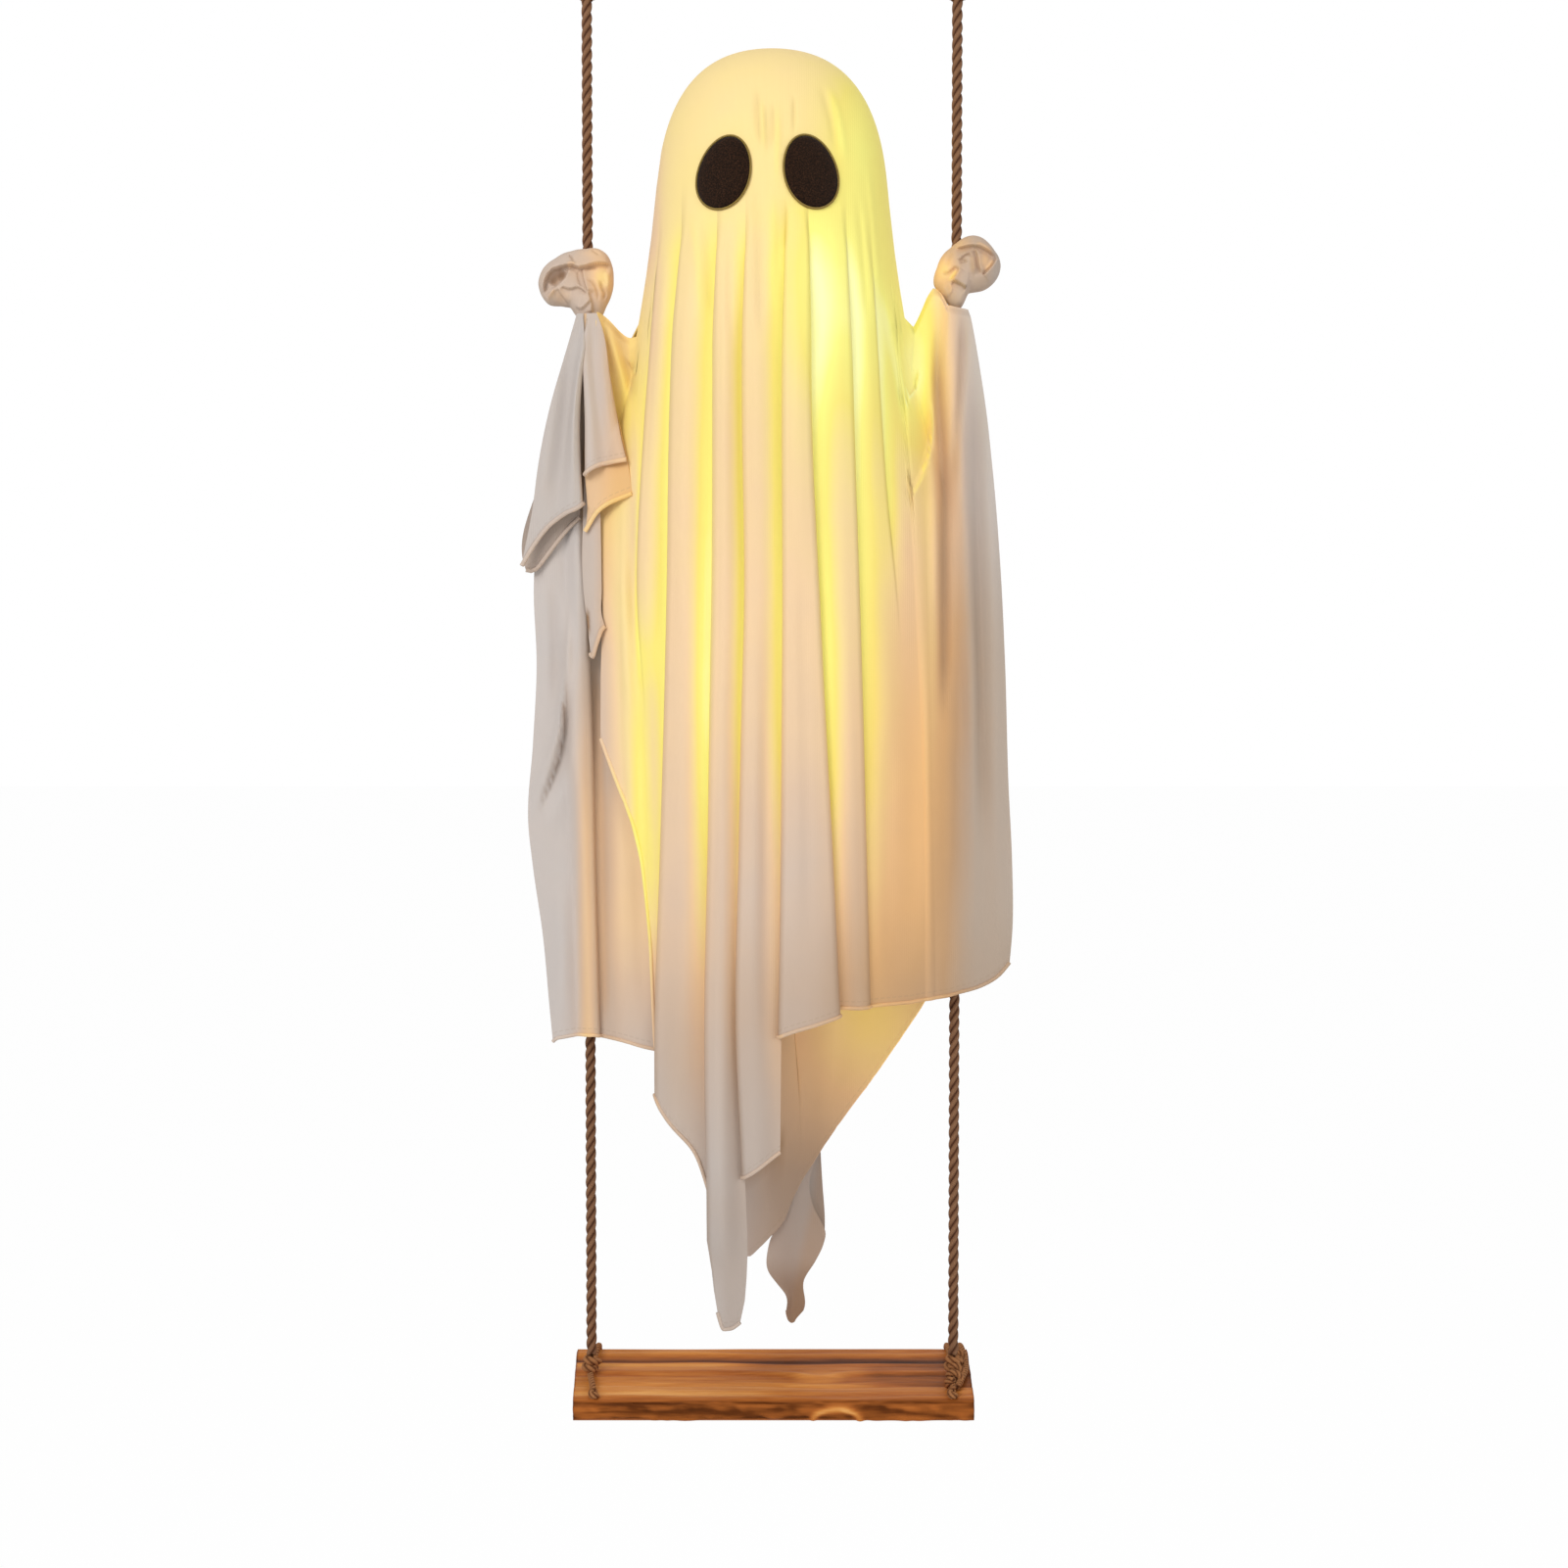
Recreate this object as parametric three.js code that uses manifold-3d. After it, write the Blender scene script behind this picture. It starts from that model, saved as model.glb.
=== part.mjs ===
// Light-up sheet ghost holding the two ropes of a hanging wooden swing.
// Millimetres, +Z up, front towards -Y. The origin is the middle of the hang axis, the line
// through the bottoms of the two screw hooks on which the rope eyes turn.
import * as THREE from 'three';
import Module from 'manifold-3d';
import { mergeVertices } from 'three/addons/utils/BufferGeometryUtils.js';

const wasm = await Module();
wasm.setup();

// Driving dimensions
const ropeSpacing = 280;
const ropeDiameter = 8;
const seatDrop = 1117;
const seatOverhang = 14;
const seatDepth = 118;
const seatThickness = 16;
const crownDrop = 105;
const headHalfWidth = 83;
const headDomeHeight = 110;
const neckDrop = 216;
const neckFlare = 20;
const clothDrop = 988;
const clothThickness = 1.5;
const fit = 0.3;

// Values that several pieces follow
const ropeRadius = ropeDiameter / 2;
const ropeX = ropeSpacing / 2;
const seatLength = ropeSpacing + 2 * seatOverhang;
const crownZ = -crownDrop;
const neckZ = crownZ - neckDrop;
const depthShare = 0.93;
const sides = [['left', -1], ['right', 1]];

const materials = {
  cloth: new THREE.MeshStandardMaterial({ color: 0xf0dfb0, roughness: 0.9 }),
  felt: new THREE.MeshStandardMaterial({ color: 0x2a150e, roughness: 0.95 }),
  goldThread: new THREE.MeshStandardMaterial({ color: 0x9a8338, roughness: 0.5, metalness: 0.4 }),
  rope: new THREE.MeshStandardMaterial({ color: 0x7a5a45, roughness: 0.9 }),
  wood: new THREE.MeshStandardMaterial({ color: 0xa86a3c, roughness: 0.7 }),
  steel: new THREE.MeshStandardMaterial({ color: 0xb5b5b0, roughness: 0.35, metalness: 0.9 }),
  clearPlastic: new THREE.MeshStandardMaterial({ color: 0xf2eee2, roughness: 0.4 }),
  darkPlastic: new THREE.MeshStandardMaterial({ color: 0x2b2b2d, roughness: 0.5 }),
  lamp: new THREE.MeshStandardMaterial({ color: 0xffe9a0, roughness: 0.3 }),
  cell: new THREE.MeshStandardMaterial({ color: 0x4b6b58, roughness: 0.4, metalness: 0.3 }),
};

const group = new THREE.Group();

// Signed volume of a triangle mesh, positive when its faces point out.
function signedVolume(geometry) {
  const flat = geometry.index ? geometry.toNonIndexed() : geometry;
  const place = flat.attributes.position;
  const a = new THREE.Vector3();
  const b = new THREE.Vector3();
  const c = new THREE.Vector3();
  let sum = 0;
  for (let i = 0; i < place.count; i += 3) {
    a.fromBufferAttribute(place, i);
    b.fromBufferAttribute(place, i + 1);
    c.fromBufferAttribute(place, i + 2);
    sum += a.dot(b.cross(c));
  }
  return sum / 6;
}

// Positions only, shared vertices merged, faces turned out.
function closedForm(geometry) {
  const copy = geometry.clone();
  copy.deleteAttribute('normal');
  copy.deleteAttribute('uv');
  const merged = mergeVertices(copy);
  if (signedVolume(merged) < 0) {
    const order = merged.index.array;
    for (let i = 0; i < order.length; i += 3) {
      const kept = order[i];
      order[i] = order[i + 1];
      order[i + 1] = kept;
    }
  }
  return merged;
}

function addPiece(name, geometry, material) {
  const form = closedForm(geometry);
  form.computeVertexNormals();
  const mesh = new THREE.Mesh(form, material.clone());
  mesh.name = name;
  group.add(mesh);
}

function toSolid(geometry) {
  const form = closedForm(geometry);
  return new wasm.Manifold(new wasm.Mesh({
    numProp: 3,
    vertProperties: new Float32Array(form.attributes.position.array),
    triVerts: new Uint32Array(form.index.array),
  }));
}

function toGeometry(solid) {
  const mesh = solid.getMesh();
  const geometry = new THREE.BufferGeometry();
  geometry.setAttribute('position', new THREE.BufferAttribute(new Float32Array(mesh.vertProperties), 3));
  geometry.setIndex(new THREE.BufferAttribute(new Uint32Array(mesh.triVerts), 1));
  return geometry;
}

function box(x0, x1, y0, y1, z0, z1) {
  const form = new THREE.BoxGeometry(x1 - x0, y1 - y0, z1 - z0);
  return form.translate((x0 + x1) / 2, (y0 + y1) / 2, (z0 + z1) / 2);
}

// An upright round bar between two heights.
function bar(x, y, radius, z0, z1, faces) {
  const form = new THREE.CylinderGeometry(radius, radius, z1 - z0, faces);
  return form.rotateX(Math.PI / 2).translate(x, y, (z0 + z1) / 2);
}

// A profile of [radius, height] pairs turned round an upright axis.
function turned(profile, faces, x) {
  const points = profile.map(([radius, height]) => new THREE.Vector2(radius, height));
  return new THREE.LatheGeometry(points, faces).rotateX(Math.PI / 2).translate(x, 0, 0);
}

function roundSection(radius, faces) {
  const corners = [];
  for (let i = 0; i < faces; i += 1) {
    const turn = (2 * Math.PI * i) / faces;
    corners.push(new THREE.Vector2(radius * Math.cos(turn), radius * Math.sin(turn)));
  }
  return new THREE.Shape(corners);
}

function tube(points, radius, faces, steps) {
  const path = new THREE.CatmullRomCurve3(points, false, 'centripetal');
  return new THREE.ExtrudeGeometry(roundSection(radius, faces), { steps, extrudePath: path });
}

// Closed shell between two equal grids of points: rows down, columns across.
function gridShell(outer, inner) {
  const rows = outer.length;
  const columns = outer[0].length;
  const places = [];
  const order = [];
  [outer, inner].forEach((grid) => grid.forEach((row) => row.forEach((p) => places.push(p.x, p.y, p.z))));
  const at = (layer, row, column) => (layer * rows + row) * columns + column;
  for (let row = 0; row < rows - 1; row += 1) {
    for (let column = 0; column < columns - 1; column += 1) {
      [0, 1].forEach((layer) => {
        const a = at(layer, row, column);
        const b = at(layer, row, column + 1);
        const c = at(layer, row + 1, column + 1);
        const d = at(layer, row + 1, column);
        if (layer === 0) order.push(a, b, c, a, c, d);
        else order.push(a, c, b, a, d, c);
      });
    }
  }
  const rim = [];
  for (let column = 0; column < columns; column += 1) rim.push([0, column]);
  for (let row = 1; row < rows; row += 1) rim.push([row, columns - 1]);
  for (let column = columns - 2; column >= 0; column -= 1) rim.push([rows - 1, column]);
  for (let row = rows - 2; row > 0; row -= 1) rim.push([row, 0]);
  rim.forEach(([row, column], i) => {
    const [nextRow, nextColumn] = rim[(i + 1) % rim.length];
    const a = at(0, row, column);
    const b = at(0, nextRow, nextColumn);
    const c = at(1, nextRow, nextColumn);
    const d = at(1, row, column);
    order.push(a, c, b, a, d, c);
  });
  const geometry = new THREE.BufferGeometry();
  geometry.setAttribute('position', new THREE.Float32BufferAttribute(places, 3));
  geometry.setIndex(order);
  return geometry;
}

// Closed ring of round section through a loop of points that face the front.
function ringTube(points, radius, faces) {
  const places = [];
  const order = [];
  const front = new THREE.Vector3(0, -1, 0);
  points.forEach((point, i) => {
    const before = points[(i + points.length - 1) % points.length];
    const after = points[(i + 1) % points.length];
    const along = after.clone().sub(before).normalize();
    const across = new THREE.Vector3().crossVectors(along, front).normalize();
    const rise = new THREE.Vector3().crossVectors(across, along);
    for (let k = 0; k < faces; k += 1) {
      const turn = (2 * Math.PI * k) / faces;
      const p = point.clone().addScaledVector(across, radius * Math.cos(turn));
      p.addScaledVector(rise, radius * Math.sin(turn));
      places.push(p.x, p.y, p.z);
    }
  });
  points.forEach((point, i) => {
    const next = (i + 1) % points.length;
    for (let k = 0; k < faces; k += 1) {
      const l = (k + 1) % faces;
      order.push(i * faces + k, next * faces + k, next * faces + l);
      order.push(i * faces + k, next * faces + l, i * faces + l);
    }
  });
  const geometry = new THREE.BufferGeometry();
  geometry.setAttribute('position', new THREE.Float32BufferAttribute(places, 3));
  geometry.setIndex(order);
  return geometry;
}

// Least distance between the surfaces of a tube's far-apart stretches.
function leastGap(points, radius, apart) {
  let least = Infinity;
  const lengths = [0];
  for (let i = 1; i < points.length; i += 1) {
    lengths.push(lengths[i - 1] + points[i].distanceTo(points[i - 1]));
  }
  for (let i = 0; i < points.length; i += 1) {
    for (let k = i + 1; k < points.length; k += 1) {
      if (lengths[k] - lengths[i] > apart) {
        least = Math.min(least, points[i].distanceTo(points[k]) - 2 * radius);
      }
    }
  }
  return least;
}

const ease = (t) => {
  const u = Math.min(Math.max(t, 0), 1);
  return u * u * (3 - 2 * u);
};
const mix = (a, b, t) => a + (b - a) * t;

// Head outline: half the width of the covered head at a drop below the crown.
const crownRoundness = 2.5;
function headHalf(drop) {
  const t = 1 - Math.min(Math.max(drop, 0), headDomeHeight) / headDomeHeight;
  const round = (1 - t ** crownRoundness) ** (1 / crownRoundness);
  return headHalfWidth * round + neckFlare * (Math.max(drop, 0) / neckDrop) ** 2;
}
const neckHalf = headHalf(neckDrop);

// Drop at which the head outline is x wide, found by halving.
function headDropAt(x) {
  let low = 0;
  let high = neckDrop;
  for (let i = 0; i < 30; i += 1) {
    const middle = (low + high) / 2;
    if (headHalf(middle) < Math.abs(x)) low = middle;
    else high = middle;
  }
  return (low + high) / 2;
}

// The cloth's top line, from hand to hand over the head. A top share of -1 to 1 is on the
// head, 1 to 2 on the arm between the neck and the hand, and 2 to 3 in the gathers under the hand.
const gatherHalfWidth = 8;
const gatherRoom = 4.5;
const gatherDepth = ropeRadius + clothThickness + gatherRoom;
const handNeckRise = 18;
const handNeckZ = neckZ + handNeckRise;
const saddleStep = 4;
function topPlace(share) {
  const side = Math.sign(share);
  const q = Math.abs(share);
  if (q < 1) return { x: share * neckHalf, z: crownZ - headDropAt(q * neckHalf), start: fit / 2 };
  const saddleX = neckHalf + saddleStep;
  const gatherX = ropeX - gatherHalfWidth;
  if (q < 2) {
    const z = mix(neckZ, handNeckZ, q - 1);
    return { x: side * mix(saddleX, gatherX, q - 1), z, start: fit / 2 + clothThickness };
  }
  return { x: side * mix(gatherX, ropeX + gatherHalfWidth, q - 2), z: handNeckZ, start: gatherDepth };
}

// Depth of the sheet in front of, or behind, the plane of the ropes.
const chestDepth = depthShare * neckHalf;
const skirtDepth = 68;
const hemDepth = 52;
const bodyHalfWidth = 150;
const edgeDepth = 17;
const armRoll = 6;
const armRollHeight = 8;
const spreadHeight = 200;
function clothDepth(x, z, top) {
  const drop = crownZ - z;
  const edge = top.start + (Math.abs(top.x) < neckHalf ? 0 : armRoll * ease((top.z - z) / armRollHeight));
  const below = neckZ - z;
  const hang = Math.max(edgeDepth - edge, 0) * ease((Math.min(top.z, neckZ) - z) / spreadHeight);
  let half = headHalf(drop);
  let depth = depthShare * half;
  let flatness = 0.5;
  if (below > 0) {
    half = mix(neckHalf, bodyHalfWidth, ease(below / spreadHeight));
    flatness = mix(0.5, 1, ease(below / spreadHeight));
    depth = mix(chestDepth, skirtDepth, ease(below / spreadHeight));
    depth = mix(depth, hemDepth, Math.max(below - spreadHeight, 0) / (clothDrop - neckDrop - spreadHeight));
  }
  const round = depth * Math.max(0, 1 - (x / half) ** 2) ** flatness;
  return Math.hypot(round, edge + hang);
}

// Pleat height: none on the crown, growing below the eyes to the full depth at the hem.
const pleatHeight = 8;
const pleatStartDrop = 160;
function pleatAt(z, spacing) {
  const grown = ease((crownZ - z - pleatStartDrop) / (neckDrop + spreadHeight - pleatStartDrop));
  return Math.min(pleatHeight * grown, 0.45 * Math.abs(spacing));
}

// Sideways place of a fold line: straight down from the head, or fanned from the hand.
function foldX(line, z) {
  const top = line.top;
  const midZ = neckZ - spreadHeight;
  const midX = line.midShare * ropeX;
  const hemX = line.hemShare * ropeX;
  if (z < midZ) return mix(midX, hemX, (midZ - z) / (midZ - line.hemZ));
  const fan = Math.abs(line.topShare) >= 1;
  const from = fan ? top.z : neckZ;
  const t = Math.min(Math.max((from - z) / (from - midZ), 0), 1);
  return mix(top.x, midX, fan ? 1 - (1 - t) ** 2 : ease(t));
}

// A panel of cloth: its fold lines from left to right with a raised pleat between each two.
const rowShares = [0, 0.003, 0.01, 0.025, 0.05, 0.08, 0.115, 0.15, 0.21, 0.32, 0.5, 0.75, 1];
function clothPanel(lineShares, facing) {
  const lines = lineShares.map(([topShare, midShare, hemShare, fallShare]) => {
    const hemZ = crownZ - fallShare * clothDrop;
    return { topShare, midShare, hemShare, hemZ, top: topPlace(topShare) };
  });
  const columns = [];
  lines.forEach((line, i) => {
    columns.push({ line, spacing: 0 });
    const next = lines[i + 1];
    if (!next) return;
    const half = (key) => (line[key] + next[key]) / 2;
    const between = { midShare: half('midShare'), hemShare: half('hemShare'), hemZ: half('hemZ') };
    between.topShare = half('topShare');
    between.top = topPlace(between.topShare);
    columns.push({ line: between, before: line, after: next });
  });
  const outer = rowShares.map((share) => columns.map(({ line, before, after }) => {
    const z = mix(line.top.z, line.hemZ, share);
    const x = foldX(line, z);
    const spacing = before ? foldX(after, z) - foldX(before, z) : 0;
    const y = clothDepth(x, z, line.top) + pleatAt(z, spacing);
    return new THREE.Vector3(x, facing * Math.max(y, line.top.start), z);
  }));
  return thickened(outer, facing);
}

// Gives a grid of points the cloth's thickness, inwards, without crossing the ropes' plane.
function thickened(outer, facing) {
  const inner = outer.map((row, i) => row.map((p, k) => {
    const up = outer[Math.max(i - 1, 0)][k];
    const down = outer[Math.min(i + 1, outer.length - 1)][k];
    const left = row[Math.max(k - 1, 0)];
    const right = row[Math.min(k + 1, row.length - 1)];
    const normal = right.clone().sub(left).cross(down.clone().sub(up)).normalize();
    if (normal.y * facing < 0) normal.negate();
    const q = p.clone().addScaledVector(normal, -clothThickness);
    q.y = facing * Math.max(q.y * facing, fit / 2);
    return q;
  }));
  return gridShell(outer, inner);
}

// Fold lines of the front: top share, then the sideways places half way down and at the hem as
// shares of the rope's distance from the middle, then the fall as a share of the cloth's drop.
const frontLineShares = [
  [-3, -1.28, -1.18, 0.758],
  [-2.65, -1.14, -1.06, 0.754],
  [-2.3, -1.0, -0.96, 0.752],
  [-1.6, -0.87, -0.77, 0.757],
  [-1, -0.75, -0.66, 0.762],
  [-0.87, -0.68, -0.62, 0.78],
  [-0.71, -0.54, -0.56, 0.805],
  [-0.57, -0.43, -0.45, 0.83],
  [-0.47, -0.33, -0.35, 0.87],
  [-0.43, -0.29, -0.32, 0.955],
  [-0.33, -0.22, -0.243, 0.973],
  [-0.24, -0.17, -0.15, 0.95],
  [-0.2, -0.14, -0.125, 0.87],
  [0.02, 0.03, 0.02, 0.838],
  [0.11, 0.09, 0.07, 0.755],
  [0.27, 0.257, 0.35, 0.736],
  [0.55, 0.45, 0.51, 0.725],
  [0.78, 0.68, 0.68, 0.725],
  [0.9, 0.76, 0.81, 0.723],
  [1, 0.865, 0.91, 0.722],
  [1.7, 0.96, 1.01, 0.723],
  [2.3, 1.05, 1.12, 0.719],
  [2.65, 1.14, 1.21, 0.713],
  [3, 1.22, 1.31, 0.703],
];

// Fold lines of the back, with the slanting hem and the hanging point seen below the front.
const backLineShares = [
  [-3, -1.24, -1.14, 0.74],
  [-2.4, -1.05, -1.0, 0.745],
  [-1.6, -0.85, -0.82, 0.75],
  [-1, -0.7, -0.66, 0.765],
  [-0.85, -0.58, -0.55, 0.8],
  [-0.7, -0.46, -0.42, 0.84],
  [-0.5, -0.34, -0.3, 0.87],
  [-0.35, -0.22, -0.21, 0.92],
  [-0.2, -0.12, -0.143, 0.949],
  [-0.05, 0, -0.03, 0.955],
  [0.1, 0.1, 0.07, 0.978],
  [0.2, 0.18, 0.13, 1],
  [0.3, 0.26, 0.2, 0.975],
  [0.42, 0.34, 0.285, 0.932],
  [0.55, 0.43, 0.33, 0.862],
  [0.68, 0.54, 0.45, 0.828],
  [0.8, 0.66, 0.62, 0.797],
  [0.9, 0.78, 0.73, 0.768],
  [1, 0.88, 0.82, 0.741],
  [1.6, 0.98, 0.93, 0.73],
  [2.3, 1.08, 1.05, 0.725],
  [3, 1.19, 1.24, 0.71],
];

function addSheets() {
  addPiece('front_sheet', clothPanel(frontLineShares, -1), materials.cloth);
  addPiece('back_sheet', clothPanel(backLineShares, 1), materials.cloth);
}

// The sheet's turned-over corner under the left hand: gathered at the hand, it fans out to a
// stepped hem. Rows: place in the gathers, hem place sideways and fall, as shares.
const cornerLift = 4;
const cornerPleatHeight = 3;
const cornerRowShares = [0, 0.1, 0.22, 0.35, 0.5, 0.65, 0.82, 1];
const cornerLineShares = [
  [-2.95, -1.33, 0.395],
  [-2.8, -1.25, 0.378],
  [-2.6, -1.13, 0.36],
  [-2.42, -1.02, 0.352],
  [-2.36, -0.99, 0.328],
  [-2.24, -0.92, 0.32],
  [-2.12, -0.82, 0.317],
  [-2.0, -0.74, 0.34],
];
function addTurnedCorner() {
  const columns = [];
  cornerLineShares.forEach((row, i) => {
    columns.push({ row, lift: 0 });
    const next = cornerLineShares[i + 1];
    if (!next) return;
    const between = row.map((value, k) => (value + next[k]) / 2);
    columns.push({ row: between, lift: 1, row0: row, row1: next });
  });
  const outer = cornerRowShares.map((share) => columns.map(({ row, lift, row0, row1 }) => {
    const top = topPlace(row[0]);
    const hemZ = crownZ - row[2] * clothDrop;
    const z = mix(top.z, hemZ, share);
    const x = mix(top.x, row[1] * ropeX, 1 - (1 - share) ** 1.6);
    const spread = lift ? Math.abs(row1[1] - row0[1]) * ropeX * share : 0;
    const under = clothDepth(x, z, top) + pleatHeight * ease((top.z - z) / spreadHeight);
    const pleat = lift * Math.min(cornerPleatHeight, 0.3 * spread);
    return new THREE.Vector3(x, -(under + clothThickness + cornerLift + pleat), z);
  }));
  addPiece('turned_corner_left', thickened(outer, -1), materials.cloth);
}

// Felt eyes on the front of the hood, each with a stitched gold rim.
const eyeWidth = 40;
const eyeHeight = 54;
const eyeThickness = 1.4;
const eyeDrop = 115;
const eyeMiddleX = -3;
const eyeSpacing = 62.5;
const eyeTilt = THREE.MathUtils.degToRad(13);
const eyeRimDiameter = 2;
const hoodDepth = (x, z) => clothDepth(x, z, { x: 0, z: crownZ, start: 0 });
function addEye(name, side) {
  const centreX = eyeMiddleX + (side * eyeSpacing) / 2;
  const centreZ = crownZ - eyeDrop;
  const place = (u, w, lift) => {
    const x = centreX + u * Math.cos(eyeTilt * side) - w * Math.sin(eyeTilt * side);
    const z = centreZ + u * Math.sin(eyeTilt * side) + w * Math.cos(eyeTilt * side);
    return new THREE.Vector3(x, -(hoodDepth(x, z) + lift), z);
  };
  const pad = new THREE.SphereGeometry(1, 24, 8).rotateX(Math.PI / 2);
  const points = pad.attributes.position;
  for (let i = 0; i < points.count; i += 1) {
    const u = (points.getX(i) * eyeWidth) / 2;
    const w = (points.getY(i) * eyeHeight) / 2;
    const lift = fit + (eyeThickness / 2) * (1 + points.getZ(i));
    const p = place(u, w, lift);
    points.setXYZ(i, p.x, p.y, p.z);
  }
  addPiece(`eye_${name}`, pad, materials.felt);
  const rim = [];
  const steps = 30;
  const out = eyeRimDiameter / 2 + fit;
  for (let i = 0; i < steps; i += 1) {
    const turn = (2 * Math.PI * i) / steps;
    const u = (eyeWidth / 2 + out) * Math.cos(turn);
    const w = (eyeHeight / 2 + out) * Math.sin(turn);
    rim.push(place(u, w, fit + eyeRimDiameter / 2));
  }
  addPiece(`eye_rim_${name}`, ringTube(rim, eyeRimDiameter / 2, 6), materials.goldThread);
}

// Clear moulded head form under the hood, with a socket for the spine.
const domeWall = 2.2;
const domeClearance = 6;
const domeOpenDrop = 188;
const spineDiameter = 12;
const socketDepth = 26;
const socketWall = 3;
const domeTopGap = 0.6;
const domeTopZ = crownZ - clothThickness - domeTopGap;
function addHeadForm() {
  const steps = 10;
  const outside = [];
  const inside = [];
  const radiusAt = (drop) => Math.max(depthShare * headHalf(drop) - domeClearance, 0);
  for (let i = 0; i <= steps; i += 1) {
    const drop = domeOpenDrop * (i / steps) ** 2;
    const z = domeTopZ - drop;
    outside.push([i === 0 ? 0 : radiusAt(drop), z]);
    if (i > 1) inside.push([radiusAt(drop) - domeWall, z - domeWall * (1 - i / steps)]);
  }
  const socketRadius = spineDiameter / 2 + fit;
  const socketFloor = domeTopZ - 2 * domeWall;
  const socketEnd = socketFloor - socketDepth;
  inside.reverse();
  const profile = [...outside, ...inside];
  profile.push([socketRadius + socketWall, socketFloor], [socketRadius + socketWall, socketEnd]);
  profile.push([socketRadius, socketEnd], [socketRadius, socketFloor], [0, socketFloor]);
  addPiece('head_form', turned(profile, 24, 0), materials.clearPlastic);
}

// Dowel spine from the head form down to the battery case, with the shoulder block on it.
const spineTopZ = domeTopZ - 2 * domeWall - fit;
const shoulderFall = 16;
const shoulderZ = neckZ - shoulderFall;
const shoulderHalfLength = 24;
const shoulderDepth = 26;
const shoulderHeight = 16;
const caseTopFall = 330;
const caseTopZ = neckZ - caseTopFall;
const caseSocketDepth = 9;
function addSpine() {
  const foot = caseTopZ - caseSocketDepth + fit;
  addPiece('spine_dowel', bar(0, 0, spineDiameter / 2, foot, spineTopZ, 20), materials.wood);
  const half = shoulderDepth / 2;
  const z0 = shoulderZ - shoulderHeight / 2;
  const block = toSolid(box(-shoulderHalfLength, shoulderHalfLength, -half, half, z0, z0 + shoulderHeight));
  const hole = toSolid(bar(0, 0, spineDiameter / 2 + fit, z0 - half, z0 + shoulderHeight + half, 20));
  addPiece('shoulder_block', toGeometry(block.subtract(hole)), materials.darkPlastic);
}

// Arm wires from the shoulder block to a ring round each rope, under the hand.
const armWireDiameter = 3;
const armRingDrop = 14;
const armWireSag = 12;
function addArmWire(name, side) {
  const radius = armWireDiameter / 2;
  const ringRadius = ropeRadius + fit + radius;
  const ringZ = handNeckZ - armRingDrop;
  const startX = shoulderHalfLength + fit;
  const endX = ropeX - ringRadius;
  const under = neckZ - armWireSag;
  const spots = [
    [startX, shoulderZ],
    [startX + 4 * armWireDiameter, shoulderZ],
    [mix(startX, endX, 0.45), mix(shoulderZ, under, 0.6)],
    [mix(startX, endX, 0.75), under],
    [mix(startX, endX, 0.92), mix(under, ringZ, 0.7)],
    [endX, ringZ],
  ];
  const points = spots.map(([x, z]) => new THREE.Vector3(side * x, 0, z));
  const wire = toSolid(tube(points, radius, 6, 16));
  const ring = new THREE.TorusGeometry(ringRadius, radius, 6, 16).translate(side * ropeX, 0, ringZ);
  const joined = wire.add(toSolid(ring));
  const room = toSolid(bar(side * ropeX, 0, ropeRadius + fit, ringZ - 4 * radius, ringZ + 4 * radius, 20));
  addPiece(`arm_wire_${name}`, toGeometry(joined.subtract(room)), materials.steel);
}

// Lamp string wound round the spine, its lower end running into the battery case.
const stringDiameter = 2.4;
const stringRadius = 17;
const stringTurns = 6;
const stringFootRise = 30;
const stringTopGap = 22;
const lampDiameter = 6;
const lampCount = 12;
function addLampString() {
  const z0 = caseTopZ + stringFootRise;
  const z1 = domeTopZ - 2 * domeWall - socketDepth - stringTopGap;
  const radius = stringDiameter / 2;
  const stepsPerTurn = 12;
  const count = stringTurns * stepsPerTurn;
  const points = [];
  const skip = shoulderHeight / 2 + lampDiameter;
  const passRadius = Math.hypot(shoulderHalfLength, shoulderDepth / 2) + lampDiameter;
  for (let i = 0; i <= count; i += 1) {
    const turn = (2 * Math.PI * i) / stepsPerTurn;
    const z = mix(z0, z1, i / count);
    const wide = mix(passRadius, stringRadius, ease(Math.abs(z - shoulderZ) / (4 * skip) - 0.2));
    points.push(new THREE.Vector3(wide * Math.cos(turn), wide * Math.sin(turn), z));
  }
  const down = new THREE.Vector3(stringRadius, 0, caseTopZ + fit);
  const gap = leastGap(points, radius, 8 * stringDiameter);
  console.log(`lamp string: least gap to itself ${gap.toFixed(2)} mm`);
  const path = [down, down.clone().setZ(caseTopZ + stringFootRise / 2), ...points];
  let whole = toSolid(tube(path, radius, 5, count));
  for (let i = 0; i < lampCount; i += 1) {
    const at = points[Math.round(((i + 0.5) / lampCount) * count)];
    const lamp = new THREE.SphereGeometry(lampDiameter / 2, 6, 4).translate(at.x, at.y, at.z);
    whole = whole.add(toSolid(lamp));
  }
  addPiece('lamp_string', toGeometry(whole), materials.lamp);
}

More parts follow.
